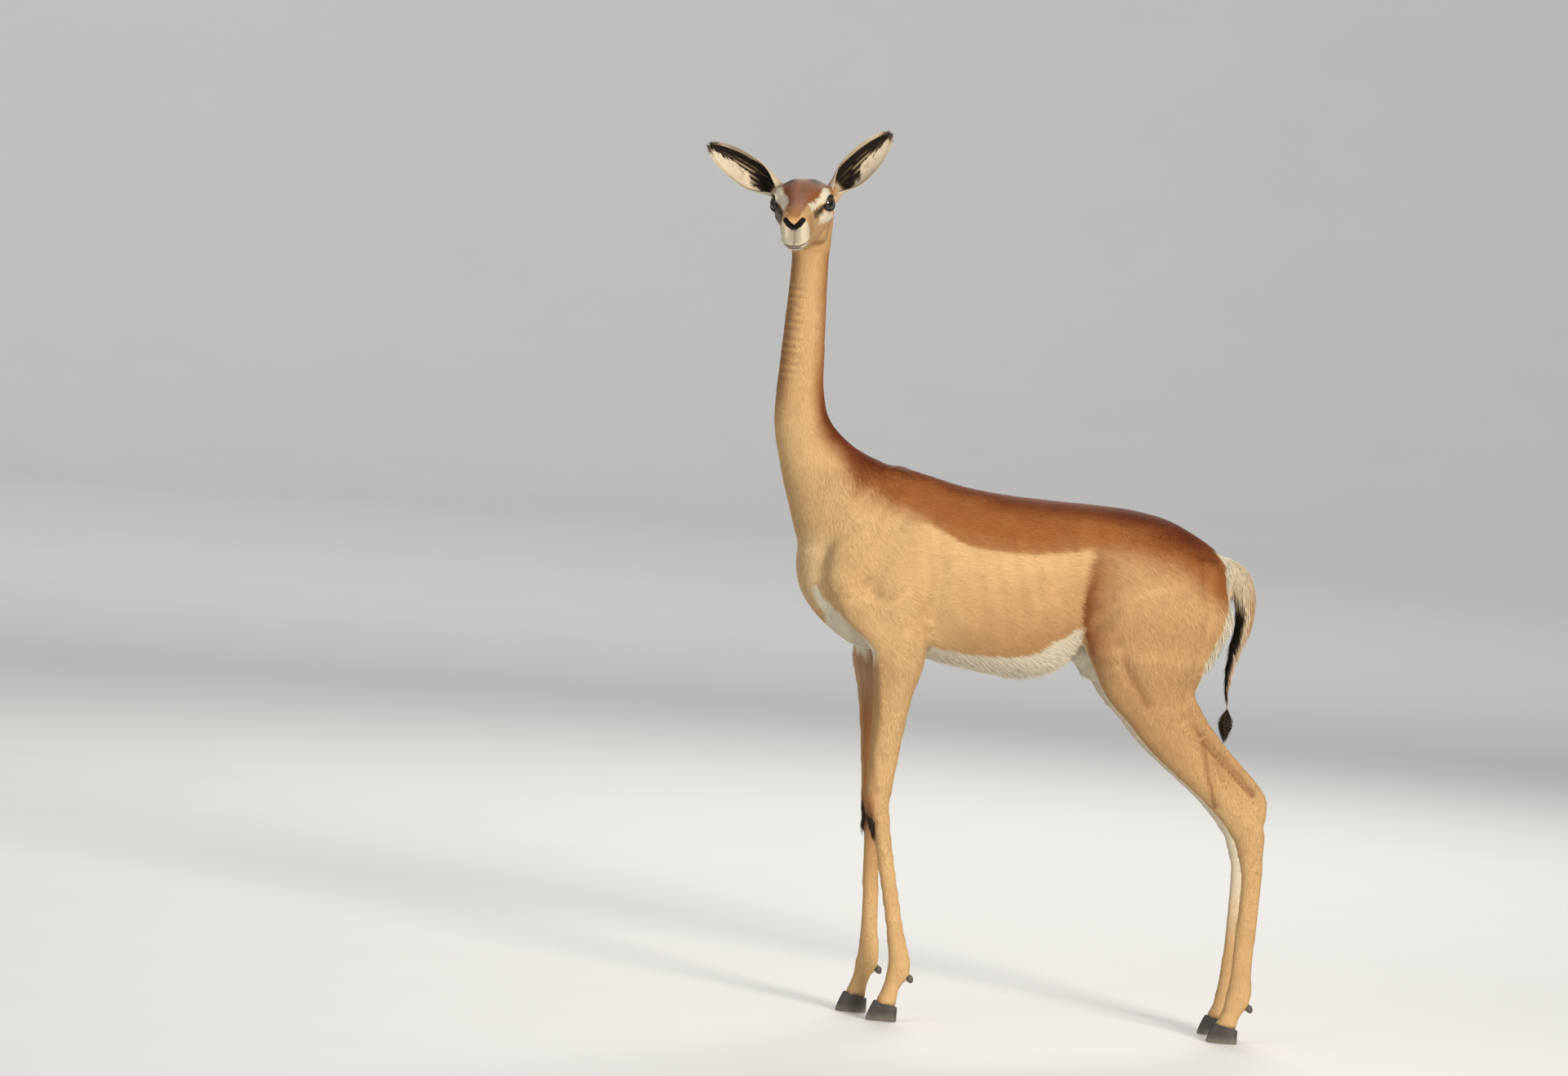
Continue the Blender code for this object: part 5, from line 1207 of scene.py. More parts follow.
def furMaterial(name, roughness, sheen, rootShade, tipShade):
    material, tree, shader = newMaterial(name)
    marks = tree.nodes.new("ShaderNodeGroup")
    marks.node_tree = coatGroup
    for key in ("rust", "pale", "white", "black", "dark"):
        wire(tree, attribute(tree, key), marks.inputs[key + "Mask"])
    tip = mathNode(tree, "MULTIPLY_ADD", attribute(tree, "tip"), tipShade - rootShade, rootShade)
    wire(tree, mathNode(tree, "MULTIPLY", tip, attribute(tree, "vary")), marks.inputs["variation"])
    wire(tree, marks.outputs[0], shader.inputs["Base Color"])
    shader.inputs["Roughness"].default_value = roughness
    shader.inputs["Specular IOR Level"].default_value = 0.08
    shader.inputs["Sheen Weight"].default_value = sheen
    shader.inputs["Sheen Roughness"].default_value = 0.45
    grainBump(tree, shader, 1100.0, 0.25, 0.0006)
    return material


def eyeMaterial():
    material, tree, shader = newMaterial("eyeWet")
    flecks = noiseNode(tree, 700.0, 3.0)
    iris = mixNode(tree, flecks, (0.02, 0.01, 0.006, 1.0), (0.048, 0.022, 0.01, 1.0))
    colour = mixNode(tree, attribute(tree, "iris"), (0.012, 0.008, 0.007, 1.0), iris)
    colour = mixNode(tree, attribute(tree, "pupil"), colour, (0.002, 0.002, 0.003, 1.0))
    wire(tree, colour, shader.inputs["Base Color"])
    shader.inputs["Roughness"].default_value = 0.12
    shader.inputs["Specular IOR Level"].default_value = 0.25
    shader.inputs["Coat Weight"].default_value = 0.55
    shader.inputs["Coat Roughness"].default_value = 0.02
    return material


def hornMaterial():
    material, tree, shader = newMaterial("hoofHorn")
    rings = noiseNode(tree, 60.0, 3.0, (0.6, 0.6, 9.0))
    colour = mixNode(tree, rings, (0.016, 0.013, 0.012, 1.0), (0.075, 0.062, 0.052, 1.0))
    dust = mathNode(tree, "MULTIPLY", attribute(tree, "worn"), noiseNode(tree, 90.0, 4.0))
    wire(tree, mixNode(tree, dust, colour, (0.26, 0.205, 0.145, 1.0)), shader.inputs["Base Color"])
    rough = mathNode(tree, "MULTIPLY_ADD", rings, 0.3, 0.34)
    wire(tree, rough, shader.inputs["Roughness"])
    grainBump(tree, shader, 260.0, 0.35, 0.0008)
    return material


def floorMaterial():
    material, tree, shader = newMaterial("paleFloor")
    speck = noiseNode(tree, 3.0, 2.0)
    base = (*stageLook["floorColour"], 1.0)
    wire(tree, mixNode(tree, speck, base, tuple(0.97 * part for part in base[:3]) + (1.0,)),
        shader.inputs["Base Color"])
    shader.inputs["Roughness"].default_value = 0.85
    shader.inputs["Specular IOR Level"].default_value = 0.1
    return material


finishes = {
    "skin": furMaterial("skinAndDown", 0.72, 0.02, 0.84, 0.9),
    "coat": furMaterial("coatHair", 0.6, 0.02, 0.86, 1.02),
    "longHair": furMaterial("longHair", 0.5, 0.04, 0.75, 1.05),
    "eye": eyeMaterial(),
    "horn": hornMaterial(),
    "floor": floorMaterial(),
}
buildStage(finishes["floor"])
buildLights()
buildCamera()
print("stage, lights, camera and finishes ready")


def settle(made, slot, finish, *nodes):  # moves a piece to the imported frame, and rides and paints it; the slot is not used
    setPlaces(made.data, placesOf(made.data) + shift)
    made.data.materials.clear()
    made.data.materials.append(finishes[finish])
    made.data.shade_smooth()
    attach(made, "root")
    if nodes:
        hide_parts(*nodes)


def keepMarkings(mesh, masks, tip, vary):
    for key, values in masks.items():
        keepValues(mesh, key, values)
    keepValues(mesh, "tip", tip)
    keepValues(mesh, "vary", vary)


# Eyes, hooves and dewclaws

eyeLook = {"segments": 56, "iris": 43.0, "pupil": (34.0, 17.0), "bulge": 0.0007}


def buildEye(side, name, node):
    centre, looks, inner, up = eyeFrame(side)
    radius, segments = eyeForms["radius"] - 0.0001, eyeLook["segments"]
    points, faces = ball(np.zeros(3), bodyAxes, (1.0, 1.0, 1.0), segments)
    frameRows = np.array([inner, up, looks])
    swell = eyeLook["bulge"] * ramp(math.cos(math.radians(46)), 1.0, points[:, 2])
    eye = objectOf(name, centre + (points * (radius + swell)[:, None]) @ frameRows, faces)
    turnedOutward(eye)
    angle = np.degrees(np.arccos(np.clip(points[:, 2], -1, 1)))
    keepValues(eye.data, "iris", ramp(eyeLook["iris"] + 2, eyeLook["iris"] - 2, angle))
    wide, high = eyeLook["pupil"]
    oval = np.hypot(points[:, 0] / math.sin(math.radians(wide)), points[:, 1] / math.sin(math.radians(high)))
    keepValues(eye.data, "pupil", ramp(1.08, 0.92, oval) * (points[:, 2] > 0))
    settle(eye, "eye_dark", "eye", node)


for side, word in ((left, "left"), (right, "right")):
    buildEye(side, word + "Eye", "eye_" + word)

hoofForms = {
    "length": 0.051, "width": 0.0158, "heel": 0.0188, "cleft": 0.0022, "tilt": 14.0, "gap": 0.0006,
    "levels": ((0.0, 1.0), (0.3, 0.945), (0.65, 0.855), (1.0, 0.75)), "ringHeight": 0.00022, "rings": 9.0,
}


def clawShape(joints, side, inner):
    form, coronet, count, steps = hoofForms, joints[-1], 26, 30
    shares, sizes = zip(*form["levels"])
    outline = [(t, min(0.72 + 2.2 * t, 1.0 - 0.8 * t**2.8)) for t in (k / steps for k in range(steps + 1))]
    outline += [(t, 0.1 * math.sin(math.pi * t)) for t in (k / steps for k in reversed(range(1, steps)))]
    rings = []
    for level in range(count + 1):
        share = level / count
        size = np.interp(share, shares, sizes)
        pinch = 1.0 - 0.1 * (1 - min(share / 0.05, 1.0)) ** 2 - 0.06 * max(0.0, (share - 0.94) / 0.06) ** 2
        ridge = form["ringHeight"] * math.sin(share * form["rings"] * 2 * math.pi)
        ring = []
        for t, width in outline:
            middle = 0.46
            ahead = form["length"] * (middle + (t - middle) * pinch) * size + ridge * t
            rim = coronet[2] - form["gap"] + math.tan(math.radians(form["tilt"])) * (ahead - form["heel"])
            lateral = inner * (form["cleft"] / 2 + form["width"] * width * (1 - 0.07 * share) * pinch
                + ridge * width)
            ring.append((coronet[0] + form["heel"] - ahead, side * coronet[1] + lateral, share * rim))
        rings.append(np.array(ring))
    return loft(rings)


def buildHooves():
    shapes, nodes = [], []
    for name, table in (("fore", "foreJoints"), ("hind", "hindJoints")):
        for side, word in ((left, "left"), (right, "right")):
            for inner, where in ((-side, "inner"), (side, "outer")):
                shapes.append(clawShape(legForms[table][side], side, inner))
                nodes.append(f"{name}_{word}_hoof_{where}")
    hooves = objectOf("hooves", *joined(shapes))
    turnedOutward(hooves)
    places = placesOf(hooves.data)
    keepValues(hooves.data, "worn", ramp(0.016, 0.0, places[:, 2]))
    settle(hooves, "hoof_horn", "horn", *nodes)
    hooves.data.set_sharp_from_angle(angle=math.radians(50.0))


def dewclawShape(place):  # a small blunt horn cone that points down and back
    way = unit((0.55, 0.0, -1.0))
    depth = unit(np.cross(way, across))
    rings = []
    for share, size in ((-0.55, 0.75), (-0.3, 1.0), (0.05, 1.06), (0.4, 0.95), (0.72, 0.72), (0.93, 0.4),
            (1.0, 0.12)):
        rings.append(ringOf(place + way * (0.0085 * share), across, depth, 0.005 * size, 0.0056 * size,
            0.0056 * size, sides=20))
    return loft(rings)


def buildDewclaws():
    shapes = []
    for table in ("foreJoints", "hindJoints"):
        for side in (left, right):
            shapes += [dewclawShape(place + np.array((0.0022, 0, -0.0022)))
                       for place in dewclawPlaces(legForms[table][side], side)]
    dewclaws = objectOf("dewclaws", *joined(shapes))
    turnedOutward(dewclaws)
    keepValues(dewclaws.data, "worn", np.full(len(dewclaws.data.vertices), 0.35))
    settle(dewclaws, "hoof_horn", "horn")


buildHooves()
buildDewclaws()
print("eyes, hooves and dewclaws ready")


# Ears: a deep leaf, bare and dark inside, with pale rims

earLook = {"rowsAlong": 46, "stepsAcross": 30}


earRows = np.array(smoothRows(earForms["rows"], 8))


def earRow(share):
    return [np.interp(share, earRows[:, 0], earRows[:, k]) for k in (1, 2, 3)]


def earPoint(side, share, out, inside, lift=0.0):  # a place on the ear: along it, across it from -1 to 1
    radius, curl, thick = earRow(share)
    _, _, sideways, opens = earFrame(side)
    centre = earCentre(side, share, radius, curl)
    reach = radius + lift
    edge = math.radians(curl) * out
    if inside:
        reach = radius - thick * (1.0 - 0.62 * out**4) - lift
        edge *= 0.985
    away = sideways * math.sin(edge) - opens * math.cos(edge)
    return centre + away * reach, (-away if inside else away)


def buildEar(side, name, node):
    steps, rings, tags = earLook["stepsAcross"], [], []
    for row in range(earLook["rowsAlong"]):
        share = mix(earForms["rows"][0][0], 1.0, (row / (earLook["rowsAlong"] - 1)) ** 0.92)
        across01 = [2 * k / (steps - 1) - 1 for k in range(steps)]
        ring = [earPoint(side, share, out, False)[0] for out in across01]
        ring += [earPoint(side, share, out, True)[0] for out in reversed(across01)]
        tags += [(share, out, 0.0) for out in across01] + [(share, out, 1.0) for out in reversed(across01)]
        rings.append(np.array(ring))
    ear = objectOf(name, *loft(rings))
    turnedOutward(ear)
    share, out, inside = np.array(tags).T
    places = placesOf(ear.data)
    wave, fine = roughCloud(places, 0.012, 5) - 0.5, cloud(places, 0.003, 6) - 0.5
    masks = earMarkings(share, -side * out, inside, wave, fine)
    keepMarkings(ear.data, masks, np.full(len(places), 0.8), np.ones(len(places)))
    settle(ear, "ear_skin", "skin", node)
    return ear


def earMarkings(share, out, inside, wave, fine):  # out is 1 on the ear's outer, lower edge
    ragged = np.sin(out * 34 + 5 * share) * 0.5 + np.sin(out * 61 - 9 * share + 2.0) * 0.3
    reach = (0.56 - 0.5 * bump(share, 0.56, 0.2) * (0.5 + 0.5 * np.sin(share * 40 + out * 5)) + 0.12
        * bump(share, 0.26, 0.12))
    cream = ramp(-0.06, 0.06, out - reach + wave * 0.34 + fine * 0.2)
    upperRim = ramp(-0.66, -0.78, out + wave * 0.12 + 0.1 * bump(share, 0.2, 0.1))
    tuftEnds = ramp(0.25, 0.65, ragged + wave) * bump(share, 0.55, 0.22) * ramp(-0.45, 0.05, out) * 0.75
    tipDark = ramp(0.89, 0.965, share + wave * 0.07)
    base = ramp(0.17, 0.1, share + wave * 0.05)
    pale = np.clip(np.maximum.reduce([cream, upperRim * 0.85, tuftEnds, base]), 0, 1) * (1 - tipDark * 0.85)
    black = mix(0.1 + 0.3 * wave, 1 - pale, inside)
    black = np.clip(np.maximum(black, tipDark * 0.8), 0, 1)
    white = mix(0.3 + 0.2 * wave + 0.45 * ramp(0.55, 0.85, np.abs(out)), pale * 0.8, inside)
    return {"rust": 0.22 * (1 - inside) + 0.25 * tipDark + 0.15 * upperRim * inside,
        "pale": np.full(len(out), 0.65),
            "white": np.clip(white, 0, 1), "black": black, "dark": 0.3 * tipDark}


for side, word in ((left, "left"), (right, "right")):
    buildEar(side, word + "Ear", "ear_" + word)
print("ears ready")


# Which way the coat lies, how long it is and how thick it stands

coatForms = {
    "seed": 11, "headDensity": 760000.0, "neckDensity": 260000.0, "bodyDensity": 215000.0,
    "tailDensity": 300000.0,
    "legDensity": 290000.0, "rise": 0.13, "settle": 0.05, "patch": 0.0015, "root": 0.0002, "turn": 0.07,
    "swirl": 0.14, "width": (0.00045, 0.062), "skinShare": 0.74,
}


def coatFlow(places, normals):
    x, y, z = places.T
    kind = region(places)
    side = np.sign(y)
    local = toHead(places)
    flow = np.zeros_like(places)

    def lie(test, dx, dy, dz):
        flow[test] = np.stack(np.broadcast_arrays(dx, dy, dz), axis=1)[test] if np.ndim(test) else 0

    low = ramp(0.86, 0.64, z)
    lie(kind == 2, 1.0 - 0.15 * low, side * 0.1 * (1 - low), -0.12 - 0.35 * low)
    haunch = (kind == 2) & (x > 0.06)
    lie(haunch, 0.75 - 0.3 * low, side * 0.12, -0.35 - 0.85 * low)
    front = (kind == 2) & (x < -0.24)
    fall = ramp(-0.24, -0.38, x)
    lie(front, mix(0.9, 0.25, fall), side * 0.1, mix(-0.35, -1.0, fall) - 0.2 * low)
    lie(kind == 1, 0.1 + 0.3 * ramp(1.05, 0.93, z), 0.0 * y, -1.0 + 0.0 * z)
    lie(kind == 4, 0.12 + 0 * x, 0.0 * y, -1.0 + 0 * z)
    lie(kind == 5, 0.3 * ramp(0.4, 0.48, z) + 0.05, 0.0 * y, -1.0 + 0 * z)
    lie(kind == 3, 0.16 + 0 * x, side * 0.1, -1.0 + 0 * z)
    head = kind == 0
    out = np.sign(local[:, 1])
    back = np.stack([-1.0 + 0 * x, out * 0.22 * ramp(0.02, 0.0, local[:, 0]), -0.1 - 0.4
        * ramp(0.01, -0.03, local[:, 2])], axis=1)
    flow[head] = (back @ headFrame)[head]
    return flow


def hairLength(places):
    x, _, z = places.T
    local = toHead(places)
    kind = region(places)
    ahead = local[:, 0]
    head = np.interp(ahead, (-0.04, 0.0, 0.05, 0.1, 0.14, 0.17),
        (0.009, 0.008, 0.0062, 0.0048, 0.0034, 0.0024))
    leg = np.interp(z, (0.02, 0.1, 0.3, 0.45, 0.62), (0.0048, 0.006, 0.0072, 0.0085, 0.012))
    trunk = 0.013 + 0.0035 * ramp(0.66, 0.6, z) + 0.004 * ramp(0.86, 0.92, z) * bump(x, -0.3, 0.1)
    tail = np.interp(z, (0.48, 0.6, 0.7, 0.8), (0.018, 0.015, 0.02, 0.016))
    return np.select([kind == 0, kind == 1, kind == 3, kind >= 4],
        [head, np.full(len(x), 0.0112), tail, leg], trunk)


def hairDensity(places):
    kind = region(places)
    return np.select([kind == 0, kind == 1, kind == 3, kind >= 4],
                     [coatForms["headDensity"], coatForms["neckDensity"], coatForms["tailDensity"],
                      coatForms["legDensity"]], coatForms["bodyDensity"])


def bulkObject(name, points, triangles):
    mesh = bpy.data.meshes.new(name)
    mesh.vertices.add(len(points))
    mesh.vertices.foreach_set("co", np.asarray(points, np.float32).ravel())
    mesh.loops.add(len(triangles) * 3)
    mesh.loops.foreach_set("vertex_index", np.asarray(triangles, np.int32).ravel())
    mesh.polygons.add(len(triangles))
    mesh.polygons.foreach_set("loop_start", np.arange(0, len(triangles) * 3, 3, dtype=np.int32))
    mesh.update(calc_edges=True)
    made = bpy.data.objects.new(name, mesh)
    bpy.context.scene.collection.objects.link(made)
    return made


# Hair: one tapered, closed, three-sided blade for each tuft, from the skin along it, bending by sag

def bladePattern(rings):
    pattern = [(0, 1, 2)]
    for ring in range(rings - 1):
        low, high = ring * 3, ring * 3 + 3
        for k in range(3):
            after = (k + 1) % 3
            pattern += [(low + after, high + k, low + k), (high + after, high + k, low + after)]
    last = (rings - 1) * 3
    return np.array(pattern + [(last + (k + 1) % 3, last + 3, last + k) for k in range(3)])


def growHair(name, roots, runs, faces, lengths, widths, sags, masks, vary, rootMap, slot, finish, rings=1):
    count, runs = len(roots), unit(runs)
    sideways = unit(np.cross(runs, faces))
    ridge = np.cross(sideways, runs)
    shares = np.linspace(0.0, 1.0, rings + 1)[:-1]
    profile = np.interp(shares, (0.0, 0.35, 0.75, 1.0), (0.85, 1.0, 0.62, 0.0))
    blocks, tips = [], []
    for share, wide in zip(shares, profile):
        centre = roots + runs * (lengths * share)[:, None] + sags * (share**2)
        half = (widths * 0.5 * wide)[:, None]
        blocks += [centre - sideways * half, centre + ridge * half * 0.55, centre + sideways * half]
        tips += [share] * 3
    blocks.append(roots + runs * lengths[:, None] + sags)
    tips.append(1.0)
    per = len(blocks)
    points = np.stack(blocks, axis=1).reshape(-1, 3)
    triangles = (np.arange(count)[:, None, None] * per + bladePattern(rings)[None]).reshape(-1, 3)
    hair = bulkObject(name, points, triangles)
    for key, values in masks.items():
        keepValues(hair.data, key, np.repeat(values, per))
    keepValues(hair.data, "tip", np.tile(tips, count))
    keepValues(hair.data, "vary", np.repeat(vary, per))
    spread = (np.array([((k % 3) - 1, tip * 2 - 1 + 0.6 * (k % 3 == 1)) for k, tip in enumerate(tips)])
        * coatForms["patch"])
    spread[-1] = (0.0, coatForms["patch"])
    flat = (rootMap[:, None, :] + spread[None]).reshape(-1, 2)
    layer = hair.data.uv_layers.new(name="OFBake")
    layer.data.foreach_set("uv", flat[triangles.ravel()].astype(np.float32).ravel())
    settle(hair, slot, finish)
    share = coatForms["skinShare"]  # the hair takes light much as the skin under it would
    blended = unit(normalsOf(hair.data) * (1 - share) + np.repeat(faces, per, axis=0) * share)
    hair.data.normals_split_custom_set_from_vertices(blended)
    return hair


# The skin's own unwrap: every part is laid out as seen from its six sides

def unwrapSkin(mesh):
    count = len(mesh.polygons)
    centres, facing = np.empty(count * 3), np.empty(count * 3)
    mesh.polygons.foreach_get("center", centres)
    mesh.polygons.foreach_get("normal", facing)
    centres, facing = centres.reshape(-1, 3), facing.reshape(-1, 3)
    part = region(centres) * 2 + ((region(centres) >= 4) & (centres[:, 1] > 0))
    axis = np.argmax(np.abs(facing), axis=1)
    chart = part * 6 + axis * 2 + (facing[np.arange(count), axis] > 0)
    starts, totals = np.empty(count, np.int32), np.empty(count, np.int32)
    mesh.polygons.foreach_get("loop_start", starts)
    mesh.polygons.foreach_get("loop_total", totals)
    corners = np.empty(len(mesh.loops), np.int32)
    mesh.loops.foreach_get("vertex_index", corners)
    loopChart, loopAxis = np.repeat(chart, totals), np.repeat(axis, totals)
    places = placesOf(mesh)[corners]
    flat = np.where((loopAxis == 0)[:, None], places[:, [1, 2]],
        np.where((loopAxis == 1)[:, None], places[:, [0, 2]], places[:, [0, 1]]))
    flat = flat * np.where(loopChart < 6, 2.4, 1.0)[:, None]  # the head gets more room
    boxes = {}
    for key in np.unique(loopChart):
        chosen = flat[loopChart == key]
        boxes[key] = (chosen.min(axis=0), chosen.max(axis=0))
    order = sorted(boxes, key=lambda key: -(boxes[key][1] - boxes[key][0])[1])
    area = sum(float(np.prod(high - low + 0.02)) for low, high in boxes.values())
    width = math.sqrt(area) * 1.18
    cursor, shelf, tall, spots = 0.0, 0.0, 0.0, {}
    for key in order:
        low, high = boxes[key]
        size = high - low + 0.02
        if cursor + size[0] > width:
            cursor, shelf, tall = 0.0, shelf + tall, 0.0
        spots[key] = np.array((cursor, shelf)) - low + 0.01
        cursor, tall = cursor + size[0], max(tall, size[1])
    scale = 0.99 / max(width, shelf + tall)
    offsets = np.zeros((loopChart.max() + 1, 2))
    for key, spot in spots.items():
        offsets[key] = spot
    flat = (flat + offsets[loopChart]) * scale
    layer = mesh.uv_layers.new(name="OFBake")
    layer.data.foreach_set("uv", flat.astype(np.float32).ravel())
    return flat


def skinTriangles(mesh):
    mesh.calc_loop_triangles()
    count = len(mesh.loop_triangles)
    corners, loops = np.empty(count * 3, np.int32), np.empty(count * 3, np.int32)
    mesh.loop_triangles.foreach_get("vertices", corners)
    mesh.loop_triangles.foreach_get("loops", loops)
    return corners.reshape(-1, 3), loops.reshape(-1, 3)


skinMap = unwrapSkin(skin.data)
skinPlaces, skinNormals = placesOf(skin.data), normalsOf(skin.data)
corners, cornerLoops = skinTriangles(skin.data)
skinFlow = coatFlow(skinPlaces, skinNormals)
skinEdges = edgesOf(skin.data)
for _ in range(14):
    skinFlow = averaged(skinFlow, skinEdges, len(skinPlaces))
dice = np.random.default_rng(coatForms["seed"])


skinTree = BVHTree.FromPolygons(skinPlaces.tolist(), corners.tolist())


def heightOver(places):  # how far each place stands over the skin; below it the number is negative
    found = [skinTree.find_nearest(place)[:2] for place in places]
    near, facing = np.array([pair[0] for pair in found]), np.array([pair[1] for pair in found])
    return ((places - near) * facing).sum(axis=1)


def sampled(test, density):  # roots spread evenly over the part of the skin that passes the test
    triangle = skinPlaces[corners]
    area = 0.5 * np.linalg.norm(np.cross(triangle[:, 1] - triangle[:, 0], triangle[:, 2] - triangle[:, 0]),
        axis=1)
    centre = triangle.mean(axis=1)
    total = np.cumsum(area * density(centre) * test(centre))
    count = int(total[-1])
    picks = np.searchsorted(total, (np.arange(count) + dice.uniform(0, 1, count)) * (total[-1] / count))
    picks = np.minimum(picks, len(total) - 1)
    first, second = np.sqrt(dice.uniform(0, 1, count)), dice.uniform(0, 1, count)
    share = np.stack([1 - first, first * (1 - second), first * second], axis=1)[:, :, None]
    roots = (skinPlaces[corners[picks]] * share).sum(axis=1)
    facing = unit((skinNormals[corners[picks]] * share).sum(axis=1))
    flow = (skinFlow[corners[picks]] * share).sum(axis=1)
    return roots, facing, flow, (skinMap[cornerLoops[picks]] * share).sum(axis=1)


def bareOfHair(places):  # the eyes, nostrils and lips have no tufts, and the hooves' rims carry none
    local = toHead(places)
    bare = overHoof(places) < 0.001
    near = (places[:, 2] > 1.2) & (local[:, 0] > -0.02)
    for side in (left, right):
        almond, _, reach = eyeAlmond(places, side)
        bare |= near & (almond < 1.2) & (reach < 0.026)
        path = [(place[0], -side * place[1], place[2]) for place in nostrilForms["path"]]
        bare |= near & (pathDistance(local, path)[0] < 0.005)
    off, fade = mouthOffset(local)
    bare |= near & (np.abs(off) < 0.0016) & (fade > 0.3)
    bare |= near & (local[:, 0] > 0.1655)
    return bare


def buildCoat(name, test, slot):
    roots, facing, flow, rootMap = sampled(test, hairDensity)
    kept = ~bareOfHair(roots)
    roots, facing, flow, rootMap = roots[kept], facing[kept], flow[kept], rootMap[kept]
    count, form = len(roots), coatForms
    run = unit(flow - facing * (flow * facing).sum(axis=1)[:, None])
    swirl = (roughCloud(roots, 0.06, 9) - 0.5) * form["swirl"] + dice.normal(0, form["turn"], count)
    run = unit(run + np.cross(facing, run) * swirl[:, None])
    length = hairLength(roots) * dice.uniform(0.75, 1.2, count)
    rise = (form["rise"] * dice.uniform(0.6, 1.4, count)
        * np.select([region(roots) == 1, region(roots) >= 4], [0.75, 1.35], 1.0))
    run = unit(run + facing * rise[:, None])
    sag = -facing * (length * form["settle"])[:, None]
    short = np.clip(0.0006 - heightOver(roots + run * length[:, None] + sag), 0.0,
        0.004)  # no tip stays buried
    run = unit(run + facing * (short / length)[:, None])
    width = (form["width"][0] + length * form["width"][1]) * dice.uniform(0.8, 1.25, count)
    vary = 1.0 + dice.normal(0, 0.035, count) + (roughCloud(roots, 0.018, 12) - 0.5) * 0.09
    growHair(name, roots - facing * form["root"], run, facing, length, width, sag, markings(roots, facing),
        vary,
             rootMap, slot, "coat")
    return count


coatPieces = (
    ("coatHead", lambda p: region(p) == 0, "coat_rust"),
    ("coatNeck", lambda p: region(p) == 1, "coat_tan"),
    ("coatChest", lambda p: (region(p) == 2) & (p[:, 0] < -0.205), "coat_tan"),
    ("coatBarrel", lambda p: (region(p) == 2) & (p[:, 0] >= -0.205) & (p[:, 0] < 0.045), "coat_rust"),
    ("coatRumpLeft", lambda p: (region(p) == 2) & (p[:, 0] >= 0.045) & (p[:, 1] <= 0), "coat_rust"),
    ("coatRumpRight", lambda p: (region(p) == 2) & (p[:, 0] >= 0.045) & (p[:, 1] > 0), "coat_rust"),
    ("coatForeLegs", lambda p: region(p) == 4, "coat_tan"),
    ("coatHindLegLeft", lambda p: (region(p) == 5) & (p[:, 1] <= 0), "coat_tan"),
    ("coatHindLegRight", lambda p: (region(p) == 5) & (p[:, 1] > 0), "coat_tan"),
    ("coatTail", lambda p: region(p) == 3, "coat_white"),
)
total = 0
for name, test, slot in coatPieces:
    grown = buildCoat(name, test, slot)
    total += grown
    print(name, grown, "tufts")
print("coat:", total, "tufts,", total * 4, "triangles")


# Long and special hair: tail, knees, ears, lids and muzzle

longHair = {
    "tuft": {"count": 1400, "top": 0.562, "bottom": 0.4965, "wide": (0.02, 0.016), "width": 0.00125,
    "bow": 0.0235},
    "rump": {"density": 120000.0, "length": (0.015, 0.024), "width": 0.001, "stand": 0.5},
    "fringe": {"density": 160000.0, "length": (0.015, 0.025), "width": 0.0009, "stand": 0.34},
    "brush": {"density": 420000.0, "length": (0.012, 0.021), "width": 0.0009, "stand": 0.3},
    "belly": {"density": 42000.0, "length": (0.016, 0.026), "width": 0.001, "stand": 0.16},
    "ear": {"backs": 2600, "edges": 1500, "cream": 1700, "width": 0.00062},
    "lashes": {"count": 64, "length": 0.0075, "width": 0.0004},
    "whiskers": {"count": 11, "length": 0.016, "width": 0.00018},
}


def plainMarks(count, **amounts):
    return {key: np.full(count, amounts.get(key, 0.0)) for key in ("rust", "pale", "white", "black", "dark")}


def growTailTuft():
    form = longHair["tuft"]
    roots, facing, _, rootMap = sampled(lambda p: (region(p) == 3) & (p[:, 2] < form["top"]),
        lambda p: np.full(len(p), 4.2e6))
    chosen = dice.permutation(len(roots))[:form["count"]]
    roots, facing, rootMap = roots[chosen], facing[chosen], rootMap[chosen]
    count = len(roots)
    angle = np.arctan2(facing[:, 1], facing[:, 0]) + dice.normal(0, 0.5, count)
    reach = np.sqrt(dice.uniform(0, 1, count))
    outward = np.stack([np.cos(angle) * form["wide"][0], np.sin(angle) * form["wide"][1], np.zeros(count)],
        axis=1) * reach[:, None]
    low = (form["bottom"] + 0.03 * reach**1.5 + dice.uniform(0, 0.01, count) + 0.5
        * np.clip(roots[:, 2] - 0.575, 0, None))
    ends = np.stack([np.full(count, 0.3065), np.zeros(count), low], axis=1) + outward * 0.62
    sag = (-outward / np.maximum(reach, 0.2)[:, None] * form["bow"] / form["wide"][0]
        * (0.4 + 0.6 * reach)[:, None])
    way = ends - roots - sag
    length = np.linalg.norm(way, axis=1)
    marks = plainMarks(count, black=1.0)
    marks["black"] = np.clip(1.0 - 0.12 * dice.uniform(0, 1, count) ** 4, 0, 1)
    hair = growHair("tailTuft", roots, way, unit(outward + 1e-6), length, form["width"]
        * dice.uniform(0.7, 1.3, count), sag,
                    marks, np.ones(count), rootMap, "coat_black", "longHair", 4)
    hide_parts("tail_tuft")


